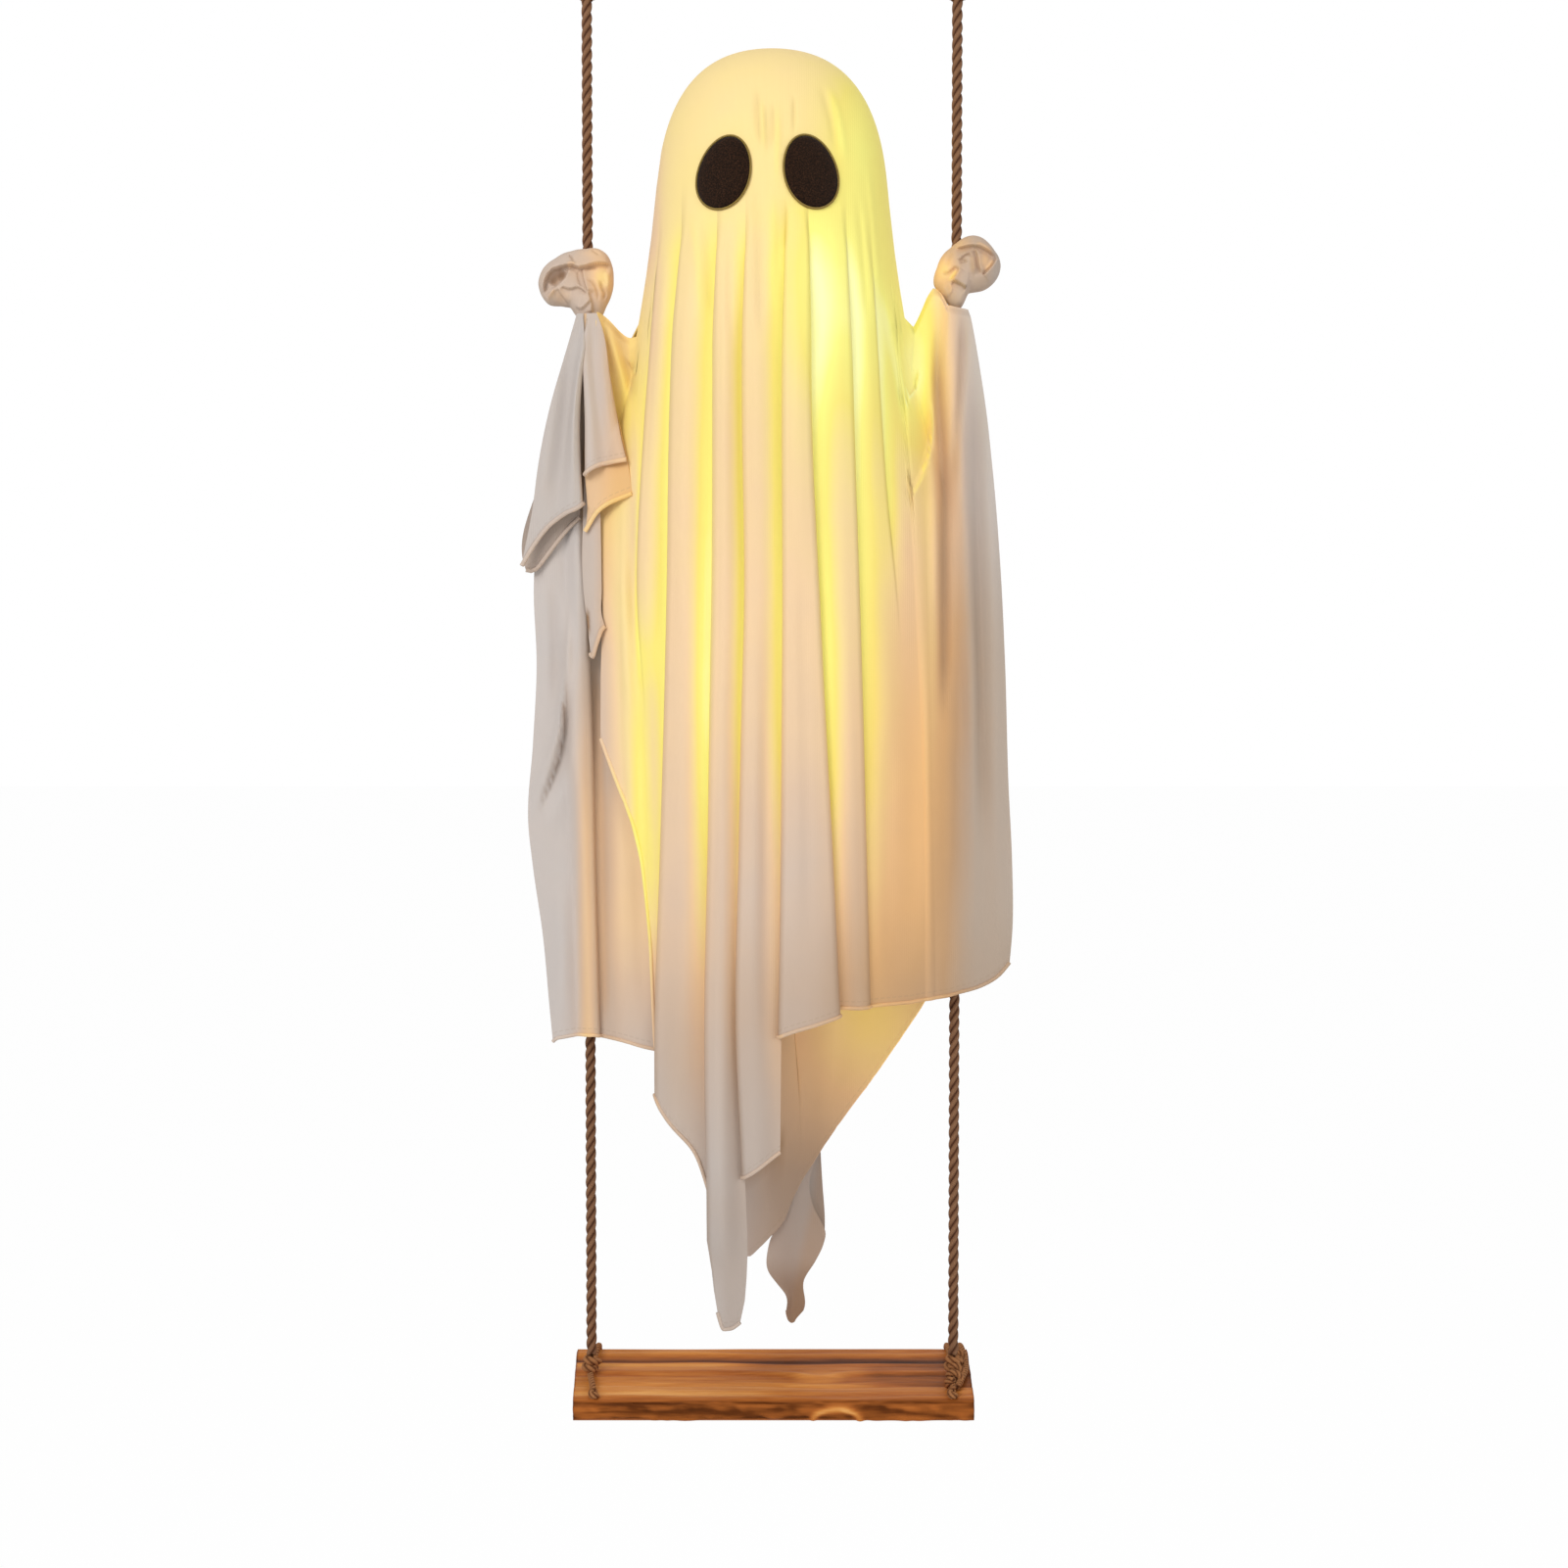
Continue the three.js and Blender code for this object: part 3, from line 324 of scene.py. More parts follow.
def makeSheetCloth():
    # Stretch polyester jersey, knitted: soft and matt, cream to peach where the lamps shine through,
    # bright yellow in the hollows between pleats, grey-pink where no light reaches. The "lamp" attribute
    # says how much light comes through, "amber" how orange it is, "fold" where an edge is shaded.
    material, tree, shader = newMaterial("stretch polyester jersey", Roughness=0.85, Sheen_Weight=0.06,
                                         Sheen_Roughness=0.5, Specular_IOR_Level=0.12)
    lamp, amber, fold, above, inside = [addNode(tree, "Attribute", out="Fac", attribute_name=name)
                                        for name in ("lamp", "amber", "fold", "hem", "inside")]
    place = objectPlace(tree)
    # soft unevenness of the dye and the light, about 40 mm across
    cloudy = addNode(tree, "TexNoise", {"Vector": place, "Scale": 24.0, "Detail": 2.0}, out="Fac")
    shifted = addNode(tree, "Math", {0: cloudy, 1: -0.5}, operation="ADD")
    uneven = addNode(tree, "Math", {0: shifted, 1: 0.07, 2: lamp}, operation="MULTIPLY_ADD")
    yellow = rampOf(tree, uneven, [(0.0, "#c3bcb8"), (0.15, "#ccbcb0"), (0.3, "#dcc0a6"), (0.45, "#edcca2"),
                                   (0.58, "#f1d896"), (0.72, "#f2e17a"), (0.86, "#f3ec82"), (1.0, "#f7f6ae")])
    orange = rampOf(tree, uneven, [(0.0, "#b3a292"), (0.22, "#c29d78"), (0.45, "#e3b27a"), (0.62, "#efc27c"),
                                   (0.8, "#f3c462"), (1.0, "#f6d860")])
    colour = addNode(tree, "Mix", {"Factor": amber, 6: yellow, 7: orange}, out=2, data_type="RGBA")
    # painted shade: the colour is drawn towards brown where the 'fold' attribute marks shaded creases, turned rolls
    # and low cloth
    colour = addNode(tree, "Mix", {"Factor": fold, 6: colour, 7: linear("#8f6a45")}, out=2, data_type="RGBA")
    # a row of stitches 5 mm above the hem, 3 mm long with gaps of 1.5 mm
    row = addNode(tree, "Math", {0: above, 1: 5.0, 2: 0.55}, operation="COMPARE")
    across = addNode(tree, "SeparateXYZ", {0: place}, out="X")
    run = addNode(tree, "Math", {0: across, 1: 0.0045, 2: 0.0}, operation="WRAP")
    stitch = addNode(tree, "Math", {0: run, 1: 0.003}, operation="LESS_THAN")
    sewn = addNode(tree, "Math", {0: row, 1: stitch}, operation="MULTIPLY")
    faint = addNode(tree, "Math", {0: sewn, 1: 0.16}, operation="MULTIPLY")
    colour = addNode(tree, "Mix", {"Factor": faint, 6: colour, 7: linear("#9a8168")}, out=2, data_type="RGBA")
    # light through the cloth: the lamp's square, and what shines from inside the skirt
    direct = addNode(tree, "Math", {0: inside, 1: 0.5}, operation="MULTIPLY")
    squared = addNode(tree, "Math", {0: lamp, 1: 2.0}, operation="POWER")
    through = addNode(tree, "Math", {0: squared, 1: 0.19, 2: direct}, operation="MULTIPLY_ADD", use_clamp=True)
    connect(tree, shader, {"Emission Color": colour, "Emission Strength": through})
    # knit ribs drawn at 1.6 mm, about twice the real stitch, so that they show
    knit = addNode(tree, "TexWave", {"Vector": place, "Scale": 196.0, "Distortion": 0.6, "Detail": 1.0}, out="Fac",
                   wave_type="BANDS", bands_direction="X")
    soft = addNode(tree, "TexNoise", {"Vector": place, "Scale": 900.0, "Detail": 1.0}, out="Fac")
    weave = addNode(tree, "Math", {0: knit, 1: soft}, operation="ADD")
    coat(tree, shader, colour, weave, 0.12, 0.0003)
    return material


def makeRopeFibre(name, dark, mid, light):
    # Twisted hemp-look cord: dull brown fibres, paler where a strand bulges and dark between strands, both painted
    # shade.
    material, tree, shader = newMaterial(name, Roughness=0.88, Specular_IOR_Level=0.12)
    fibre = addNode(tree, "TexNoise", {"Vector": alongPlace(tree, (9.0, 260.0, 1.0)), "Scale": 1.0, "Detail": 3.0,
                                       "Roughness": 0.65}, out="Fac")
    # the 'bulge' attribute is painted shade across each strand: pale on its crown, dark where strands meet
    bulge = addNode(tree, "Attribute", out="Fac", attribute_name="bulge")
    both = addNode(tree, "Math", {0: fibre, 1: 0.55, 2: bulge}, operation="MULTIPLY_ADD")
    colour = rampOf(tree, both, [(0.15, dark), (0.62, mid), (0.88, light)])
    coat(tree, shader, colour, fibre, 0.6, 0.0005)
    return material


def makeFelt():
    # Dark brown wool felt, pressed: very matt, with a fine fuzz of lighter fibres.
    material, tree, shader = newMaterial("brown wool felt", Roughness=0.95, Specular_IOR_Level=0.05,
                                         Sheen_Weight=0.06, Sheen_Roughness=0.6)
    fuzz = addNode(tree, "TexNoise", {"Vector": objectPlace(tree), "Scale": 1100.0, "Detail": 3.0}, out="Fac")
    colour = rampOf(tree, fuzz, [(0.35, "#150a04"), (0.52, "#24150a"), (0.66, "#3b2416")])
    coat(tree, shader, colour, fuzz, 0.7, 0.0006)
    return material


def makeGoldThread():
    # Metallised embroidery thread in satin stitch: dull gold with a broken glint, painted as stitch bands that run
    # from dark gold, painted shade between the stitches, to bright gold, a painted glint on their crowns.
    material, tree, shader = newMaterial("gold embroidery thread", Roughness=0.42, Metallic=0.35)
    stitch = addNode(tree, "TexWave", {"Vector": alongPlace(tree, (1.0, 120.0, 1.0)), "Scale": 0.8,
                                       "Distortion": 0.5}, out="Fac", bands_direction="Y")
    colour = rampOf(tree, stitch, [(0.0, "#4a3a14"), (0.6, "#8a6f2a"), (1.0, "#c0a04c")])
    coat(tree, shader, colour, stitch, 0.6, 0.0004)
    return material


def makeSeatWood():
    # Stained and waxed softwood plank: long grain bands along its length, partly painted highlight and shade, one
    # burl, a dark rough front edge with painted shade in its carving.
    material, tree, shader = newMaterial("stained waxed plank", Roughness=0.5, Specular_IOR_Level=0.04)
    grain = addNode(tree, "TexNoise", {"Vector": objectPlace(tree, (5.0, 60.0, 60.0)), "Scale": 1.6, "Detail": 6.0,
                                       "Roughness": 0.62, "Distortion": 0.4}, out="Fac")
    pores = addNode(tree, "TexNoise", {"Vector": objectPlace(tree, (30.0, 420.0, 420.0)), "Scale": 1.5,
                                       "Detail": 4.0}, out="Fac")
    tone = addNode(tree, "Attribute", out="Fac", attribute_name="tone")
    both = addNode(tree, "Math", {0: grain, 1: 0.75, 2: tone}, operation="MULTIPLY_ADD")
    fine = addNode(tree, "Math", {0: pores, 1: 0.3, 2: both}, operation="MULTIPLY_ADD")
    scaled = addNode(tree, "Math", {0: fine, 1: 0.5}, operation="MULTIPLY")
    colour = rampOf(tree, scaled, [(0.14, "#2c1407"), (0.3, "#653413"), (0.46, "#a9602a"), (0.62, "#cd8440"),
                                   (0.82, "#efb36a")])
    coat(tree, shader, colour, fine, 0.45, 0.0009)
    return material


def makePlain(name, dark, light, scale, roughness, bumpStrength=0.1, **values):
    # a moulded, drawn or turned surface: two close tones and a fine bump at a given scale
    material, tree, shader = newMaterial(name, Roughness=roughness, **values)
    grain = addNode(tree, "TexNoise", {"Vector": objectPlace(tree), "Scale": scale, "Detail": 3.0}, out="Fac")
    coat(tree, shader, rampOf(tree, grain, [(0.3, dark), (0.7, light)]), grain, bumpStrength, 0.0004)
    return material


sheetCloth = makeSheetCloth()
ropeFibre = makeRopeFibre("hemp-look twisted cord", "#24120b", "#5b3927", "#8c674c")
knotFibre = makeRopeFibre("waxed lashing cord", "#2a1409", "#6e4327", "#a9744a")
felt = makeFelt()
goldThread = makeGoldThread()
seatWood = makeSeatWood()
zincSteel = makePlain("zinc plated steel", "#9d9d99", "#c2c2bd", 260.0, 0.34, Metallic=1.0)
beech = makePlain("turned beech", "#b98f5f", "#d3ac7c", 90.0, 0.6, 0.25)
frosted = makePlain("frosted polypropylene", "#e9e2cf", "#f6f0df", 160.0, 0.5, 0.15)
blackAbs = makePlain("moulded black ABS", "#1c1c1e", "#2b2b2d", 900.0, 0.48, 0.2)
whiteAbs = makePlain("moulded white ABS", "#dcdcd8", "#efefeb", 900.0, 0.4, 0.2)
cellSleeve = makePlain("shrink sleeve", "#26402f", "#355743", 300.0, 0.32, 0.05)
lampGlow = makePlain("warm lamp resin", "#ffe0a0", "#fff0c0", 300.0, 0.3, 0.05,
                     Emission_Color=linear("#ffd27a"), Emission_Strength=1.2)
print("materials made")


# Ropes: three strands laid right-handed, taut from the seat knot to the bound splice.
ropeForm = {"diameter": 8.0, "pitch": 27.0, "strandRadius": 2.15, "strandOffset": 1.95, "strandFaces": 9,
            "stepsPerTurn": 22}
strandShade = 0.32
fibreStretch = 0.04


def strandRope(path, form, turnShift=0.0):
    # each strand is a round tube whose centre circles the path once in every pitch of its length
    length = runOf(path)[-1]
    steps = int(length / form["pitch"] * form["stepsPerTurn"]) + 2
    even = np.linspace(0, length, steps)
    core = spaced(path, steps)
    _, side, rise = framesAlong(core)
    faces = form["strandFaces"]
    parts = []
    for k in range(3):
        turn = turnShift + 2 * np.pi * (even / form["pitch"] + k / 3)
        out = np.cos(turn)[:, None] * side + np.sin(turn)[:, None] * rise
        centre = core + out * form["strandOffset"]
        _, strandSide, strandRise = framesAlong(centre)
        ring = ringsRound(strandSide, strandRise, circle(faces))
        points = centre[:, None, :] + ring * form["strandRadius"]
        # painted shade: pale on the strand's outer crown, dark on its side towards the other strands
        bulge = np.einsum("ijk,ik->ij", ring, out) * strandShade + strandShade
        parts.append((points.reshape(-1, 3), gridFaces(steps, faces, closedAcross=True),
                      {"bulge": bulge, "u": even[:, None] * fibreStretch + 0 * bulge,
                       "v": np.arange(faces) / faces + 0 * bulge}))
    points, quads, attributes = joinParts(parts)
    for k in range(3):
        quads = quads + endFaces(steps, faces, k * steps * faces)
    return points, quads, attributes


# Its top end goes on inside the whipping.
ropeTop = float(boxOf("rope_splice_right")[1][2]) - 2
ropeHeights = [float(ropeLow[2]), -1000.0, -850.0, -700.0, -550.0, -400.0, -250.0, -150.0, ropeTop]
for sideName, side in sides:
    route = np.array([(side * ropeX, 0, z) for z in ropeHeights])
    points, faces, attributes = strandRope(route, ropeForm, turnShift=0.7 * side)
    rope = putMesh("swing_rope_" + sideName, points, faces, ropeFibre, attributes, flip=True)
    dress(rope, "swing", "rope_" + sideName)
print("ropes laid")


# The sheet's form: the hood's outline, the top line from hand to hand, and the depth of the skirt.
sheetForm = {
    "headHalf": 83, "domeHeight": 107, "neckDrop": 213, "neckFlare": 20, "roundness": 2.5, "depthRoundness": 2.2,
    "depthShare": 0.93, "clothDrop": 985, "skirtDepth": 68, "hemDepth": 52, "bodyHalf": 150, "edgeDepth": 17,
    "spreadHeight": 200, "armRoll": 6, "armRollHeight": 8, "gatherDepth": 10, "gatherHalf": 8, "handRise": 18,
    "saddleStep": 4, "thickness": 0.9, "crownSink": 3, "hemRadius": 0.5, "hemReach": 20,
    "rightShares": [0.985, 1, 1.23, 1.42, 1.6, 1.8, 2.0, 3.0], "rightRises": [0, 8, 17, 24, 26, 20, 5, 1.5],
}
crownZ -= sheetForm["crownSink"]
neckZ = crownZ - sheetForm["neckDrop"]


def headHalf(drop, n=sheetForm["roundness"]):
    # half width of the hood: a superellipse dome, then a slow flare towards the neck
    t = 1 - np.clip(drop, 0, sheetForm["domeHeight"]) / sheetForm["domeHeight"]
    dome = (1 - t ** n) ** (1 / n)
    flare = (np.maximum(drop, 0) / sheetForm["neckDrop"]) ** 2
    return sheetForm["headHalf"] * dome + sheetForm["neckFlare"] * flare


neckHalf = float(headHalf(sheetForm["neckDrop"]))
outlineDrops = sheetForm["neckDrop"] * np.linspace(0, 1, 4001) ** 3
outlineHalves = headHalf(outlineDrops)


def topLine(share):
    # the sheet's top line: shares to 1 on the hood's outline, 1 to 2 along the arm, 2 to 3 gathered in the hand
    form = sheetForm
    q = np.abs(share)
    side = np.sign(share)
    gatherX = ropeX - form["gatherHalf"]
    headX = np.minimum(q, 1) * neckHalf
    armX = mix(neckHalf + form["saddleStep"], gatherX, q - 1)
    handX = mix(gatherX, ropeX + form["gatherHalf"], q - 2)
    headZ = crownZ - np.interp(headX, outlineHalves, outlineDrops)
    handZ = neckZ + form["handRise"]
    armZ = mix(neckZ, handZ, ease(q - 1))
    # the right arm rises more steeply, and its valley lies higher
    steep = (side > 0) * np.interp(q, form["rightShares"], form["rightRises"])
    x = side * np.where(q < 1, headX, np.where(q < 2, armX, handX))
    z = np.where(q < 1, headZ, np.where(q < 2, armZ, handZ)) + steep
    start = np.where((q >= 1) & (q < 2), form["thickness"] / 2, 0.0)
    return x, z, start + form["gatherDepth"] * easeUp(q, 1.75, 0.35)


def clothDepth(x, z, topX, topZ, start):
    # depth before the ropes' plane: an ellipse over the head, easing into a flat arch for the skirt
    form = sheetForm
    drop = crownZ - z
    edge = start + np.where(np.abs(topX) < neckHalf, 0, form["armRoll"] * ease((topZ - z) / form["armRollHeight"]))
    below = neckZ - z
    spread = ease(below / form["spreadHeight"])
    hang = np.maximum(form["edgeDepth"] - edge, 0) * ease((np.minimum(topZ, neckZ) - z) / form["spreadHeight"])
    half = np.where(below > 0, mix(neckHalf, form["bodyHalf"], spread), headHalf(drop))
    depth = np.where(below > 0, mix(form["depthShare"] * neckHalf, form["skirtDepth"], spread),
                     form["depthShare"] * headHalf(drop, form["depthRoundness"]))
    straight = form["clothDrop"] - form["neckDrop"] - form["spreadHeight"]
    low = np.maximum(below - form["spreadHeight"], 0) / straight
    depth = np.where(below > 0, mix(depth, form["hemDepth"], low), depth)
    flatness = np.where(below > 0, mix(0.5, 1, spread), 0.5)
    arch = depth * np.maximum(0, 1 - (x / np.maximum(half, 1e-6)) ** 2) ** flatness
    return np.hypot(arch, edge + hang)


def foldLine(top, *spots, **more):
    # A fold of the cloth: its share of the top line, then its (z, x) spots. Further values say its roll,
    # how far it stands out (height), where it starts, over how much it grows, where it ends and fades,
    # and the bump of a broad face to its right.
    return {"top": top, "spots": spots, **more}


def bell(height, width, *spots, **more):
    # a crease of bell section along (x, z) spots: a ridge, or a groove where its height is below 0
    return {"bell": height, "width": width, "spots": spots, **more}


def step(height, width, *spots, **more):
    # a crease raised on the left of the way its (x, z) spots run
    return {"step": height, "width": width, "spots": spots, **more}


def lineX(line, z):
    # sideways place of a fold line at each height
    spots = sorted(line["spots"])
    return smoothLine([s[0] for s in spots], [s[1] for s in spots], z)


def foldStrength(line, z):
    # how far a fold stands out: grows below its start and fades before its end
    grown = ease((line.get("start", -190) - z) / line.get("grow", 150))
    left = ease((z - line.get("end", -3000)) / line.get("fade", 90))
    return line.get("height", 0) * grown * left


def creaseField(x, z, creases):
    # Creases along curves, as raised height, added lamp light and shade. A bell is a ridge or groove of
    # bell section; a step is raised on the left of the way its curve runs, sunk on its right, and fades
    # away from it. Both die out towards the curve's ends.
    height, light, shade = np.zeros(x.shape), np.zeros(x.shape), np.zeros(x.shape)
    pieces = 13
    for crease in creases:
        path = pathThrough([(a, 0, b) for a, b in crease["spots"]], pieces + 1)
        best, side, along = np.full(x.shape, 1e9), np.zeros(x.shape), np.zeros(x.shape)
        for i in range(pieces):
            ex, ez = path[i + 1, 0] - path[i, 0], path[i + 1, 2] - path[i, 2]
            t = np.clip(((x - path[i, 0]) * ex + (z - path[i, 2]) * ez) / (ex * ex + ez * ez), 0, 1)
            dx, dz = x - path[i, 0] - t * ex, z - path[i, 2] - t * ez
            gap = dx * dx + dz * dz
            nearer = gap < best
            best = np.where(nearer, gap, best)
            side = np.where(nearer, np.sign(ex * dz - ez * dx), side)
            along = np.where(nearer, (i + t) / pieces, along)
        gap = np.sqrt(best)
        ends, width = crease.get("ends", 0.3), crease["width"]
        window = ease(along / ends) * ease((1 - along) / ends)
        narrow = np.exp(-(gap / crease.get("glowWidth", width)) ** 2) * window
        lit, shaded = 1, 1
        if "step" in crease:
            height += crease["step"] * side * np.exp(-gap / width) * np.tanh(gap / 0.7) * window
            lit, shaded = side > 0, side <= 0
        else:
            height += crease["bell"] * np.exp(-(gap / width) ** 2) * window
        light += crease.get("light", 0) * narrow * lit
        shade += crease.get("shade", 0) * narrow * shaded
    return height, light, shade


def softWave(x, z):
    # slow unevenness of hanging cloth, a millimetre or so
    down = easeDown(z, -250, 250)
    return down * (0.7 * np.sin(x / 5.3 + 1.9 * np.sin(z / 83)) + 1.1 * np.sin(z / 67 + x / 31) * np.cos(x / 44))


# A roll's columns and a broad face's, a roll's width at a full fold and a faint one, how far it bulges, and
# how a face stays full over its crest, falls over its slope and swells between. Sizes in mm, else shares.
pleatForm = {
    "rollColumns": 6, "broadColumns": 14, "rollWidth": 1.8, "faintWidth": 6.0, "fullAt": 4, "bulge": 3.4,
    "bulgeShare": 0.36, "topLean": 0.06, "settle": 90, "crest": 0.12, "slope": 0.8, "swell": 0.18, "pairSwell": 0.2,
    "bumpBelow": 60, "bumpOver": 150, "openHollow": 0.45, "ownFull": 3.5, "turnFull": 5, "farDepth": 45,
}


def pleatedStrip(lines, hem, facing, rows, depthOf, top=topLine, rowPower=2.4, flatSpots=(), creases=()):
    # A strip of cloth between fold lines. Across, each stretch between two lines is a broad face; a line
    # with roll +1 has the face to its right folded over the cloth to its left by a half circle, and one
    # with roll -1 the other way. Down, points run from the top line to the hem, close together at the top.
    form = pleatForm
    rolls = np.array([line.get("roll", 0) for line in lines])
    cells = []
    for k in range(len(lines) - 1):
        if rolls[k] == 1:
            cells += [(k, 0.0, t, 0) for t in np.linspace(0, 1, form["rollColumns"], endpoint=False)[min(k, 1):]]
        shared = 0 if rolls[k] == 1 or k == 0 else 1
        cells += [(k, s, 1.0, 0) for s in np.linspace(0, 1, form["broadColumns"])[shared:]]
        if rolls[k + 1] == -1:
            cells += [(k, 1.0, t, 1) for t in np.linspace(1, 0, form["rollColumns"] + 1)[1:]]
    k, s, t, which = [np.array(column) for column in zip(*cells)]
    leftRoll, rightRoll = rolls[k] == 1, rolls[k + 1] == -1
    # how far each column leans out of its roll, which way that roll bulges, and its angle
    lean = leftRoll * (1 - s) * t - rightRoll * s * t
    bulgeWay = np.where(t < 1, np.where(which == 0, -1, 1), 0)
    angle = -np.pi / 2 + np.pi * t

    def leanWidth(strength):
        return mix(form["faintWidth"], form["rollWidth"], np.minimum(strength / form["fullAt"], 1))

    def bulgeOf(strength):
        return np.minimum(form["bulge"], form["bulgeShare"] * strength) * np.cos(angle) * bulgeWay

    topShares = np.array([line["top"] for line in lines], float)
    topX, topZ, start = top(mix(topShares[k], topShares[k + 1], s + form["topLean"] * lean))
    # the hem's height at each column, found by turns, since the column's place depends on it
    hemX, hemZs = np.array(hem, float).T
    lowZ = np.full(len(k), hemZs.mean())
    col = np.arange(len(k))
    for _ in range(8):
        atHem = np.stack([lineX(line, lowZ) for line in lines])
        strength = np.stack([foldStrength(line, lowZ) for line in lines])
        strength = np.where(which == 0, strength[k, col], strength[k + 1, col])
        lowX = mix(atHem[k, col], atHem[k + 1, col], s) + leanWidth(strength) * lean + bulgeOf(strength)
        lowZ = mix(lowZ, np.interp(lowX, hemX, hemZs), 0.6)
    for _ in range(4):
        lowZ[1:-1] = (lowZ[:-2] + 2 * lowZ[1:-1] + lowZ[2:]) / 4
    v = np.linspace(0, 1, rows)[:, None]
    z = topZ + (lowZ - topZ) * (0.6 * v ** rowPower + 0.4 * v ** (0.65 * rowPower))
    xs = np.stack([lineX(line, z) for line in lines])
    heights = np.stack([foldStrength(line, z) for line in lines])
    row = np.arange(rows)[:, None]
    ha, hb = heights[k, row, col], heights[k + 1, row, col]
    x = mix(xs[k, row, col], xs[k + 1, row, col], s) + leanWidth(np.maximum(ha, hb)) * lean
    x = x + (topX - x[0]) * (1 - ease((topZ - z) / form["settle"]))
    # a pleat stays full for a third of its width, then falls in a soft S to its valley
    fromLeft, fromRight = [0.5 + 0.5 * np.cos(np.pi * np.clip((q - form["crest"]) / form["slope"], 0, 1))
                           for q in (s, 1 - s)]
    arch = np.sin(np.pi * s)
    face = np.where(leftRoll & rightRoll, mix(ha, hb, s) + form["pairSwell"] * ha * arch,
                    np.where(leftRoll, ha * (fromLeft + form["swell"] * arch),
                             np.where(rightRoll, hb * (fromRight + form["swell"] * arch), 0)))
    bumps = np.array([line.get("bump", 0) for line in lines], float)
    face = face + bumps[k] * arch * ease((topZ - form["bumpBelow"] - z) / form["bumpOver"])
    high = np.where(which == 0, ha, hb)
    height = np.where(t < 1, high * (1 + np.sin(angle)) / 2, face)
    bulge = bulgeOf(high)
    for spotX, spotZ, halfX, halfZ in flatSpots:
        clear = ease((np.hypot((x - spotX) / halfX, (z - spotZ) / halfZ) - 1) / 0.4)
        height, bulge = height * clear, bulge * clear
    x = x + bulge
    raised, light, shade = creaseField(x, z, creases)
    y = depthOf(x, z, topX, topZ, start) + height + raised + softWave(x, z) * (facing < 0)
    # a stretch whose own fold is missing or faded is a valley only beside its neighbour's fold
    tallest = np.maximum(np.maximum(ha, hb), 1e-6)
    beside = np.maximum((rolls == -1)[k] * (1 - ease(s / 0.8)), (rolls == 1)[k + 1] * easeUp(s, 0.2, 0.8))
    own = np.maximum(ha * leftRoll, hb * rightRoll)
    unrolled, rolled = mix(form["openHollow"], 1, beside), 1 - np.clip(height / tallest, 0, 1)
    hollow = mix(unrolled, rolled, ease(own / form["ownFull"]))
    extra = {"x": x, "z": z, "light": light, "shade": shade, "hem": np.clip(z - lowZ, 0, sheetForm["hemReach"]),
             "hollow": mix(form["openHollow"], hollow, ease(tallest / form["fullAt"])),
             "turn": (1 - t) * np.minimum(high / form["turnFull"], 1),
             "far": (facing > 0) * ease(y / form["farDepth"])}
    return np.stack([x, facing * y, z], -1), gridFaces(rows, len(k)), extra


# Lamp light through the cloth, by height, and where it is stronger or weaker: (x, z, wide, tall, gain).
glowForm = {
    "heights": [-1100, -1040, -960, -900, -837, -790, -730, -660, -587, -480, -395, -303, -220, -160, -105],
    "levels": [0.0, 0.0, 0.04, 0.11, 0.21, 0.3, 0.375, 0.435, 0.49, 0.53, 0.55, 0.57, 0.58, 0.58, 0.57],
    "hollowHeights": [-1000, -930, -860, -790, -730, -600, -450, -300, -200],
    "hollowGains": [0.0, 0.06, 0.16, 0.24, 0.32, 0.42, 0.38, 0.22, 0.0],
    "spots": [(37, -317, 24, 80, 0.34), (66, -330, 18, 100, 0.18), (66, -190, 20, 60, 0.2),
              (-98, -680, 8, 100, 0.28), (46, -590, 12, 130, 0.1), (-130, -650, 12, 100, -0.2),
              (-90, -270, 9, 110, -0.2), (-48, -540, 6, 160, 0.1), (20, -730, 60, 90, -0.11),
              (-100, -420, 9, 110, -0.12), (-52, -640, 7, 170, 0.1), (110, -345, 18, 55, 0.26),
              (100, -480, 12, 70, -0.08), (104, -560, 14, 80, -0.12), (-80, -120, 60, 40, -0.03),
              (90, -275, 16, 90, 0.14), (58, -150, 22, 40, 0.04), (-88, -735, 6, 60, 0.2), (108, -372, 16, 60, 0.1),
              (-120, -328, 14, 30, -0.05), (-106, -384, 12, 36, 0.16), (-127, -560, 10, 80, -0.16)],
    "amberSpots": [(112, -660, 42, 170, 0.9), (122, -420, 16, 60, 0.4), (-118, -330, 22, 40, 0.4),
                   (-107, -386, 14, 36, 0.35), (80, -800, 50, 90, 0.5), (-125, -470, 10, 60, 0.5),
                   (-70, -870, 12, 70, 0.3)],
    "rightFade": (158, 44),
}


def shadeOf(turn, extra, more=0):
    # shade in the turned rolls and the creases, and more
    return np.clip(extra["turn"] * turn + extra["shade"] + more, 0, 0.9)


# How light falls off at the back (far), how orange and how shaded the cloth is, with where each begins
# and over what length: down in z, out in x.
clothLight = {
    "hollowPower": 1.4, "hollowMean": 0.17, "farSpots": 0.7, "farDim": 0.25, "turnShade": 0.62,
    "lowAmber": 0.25, "lowDown": (-700, 160), "sideAmber": 0.8, "sideOut": (120, 25), "sideDown": (-420, 150),
    "sideTop": 0.3, "hemShade": 0.14, "hemDown": (-740, 90), "hemOut": (-42, 12), "tailShade": 0.12,
    "tailDown": (-930, 50), "hemFold": 0.3, "hemLamp": 0.12,
}


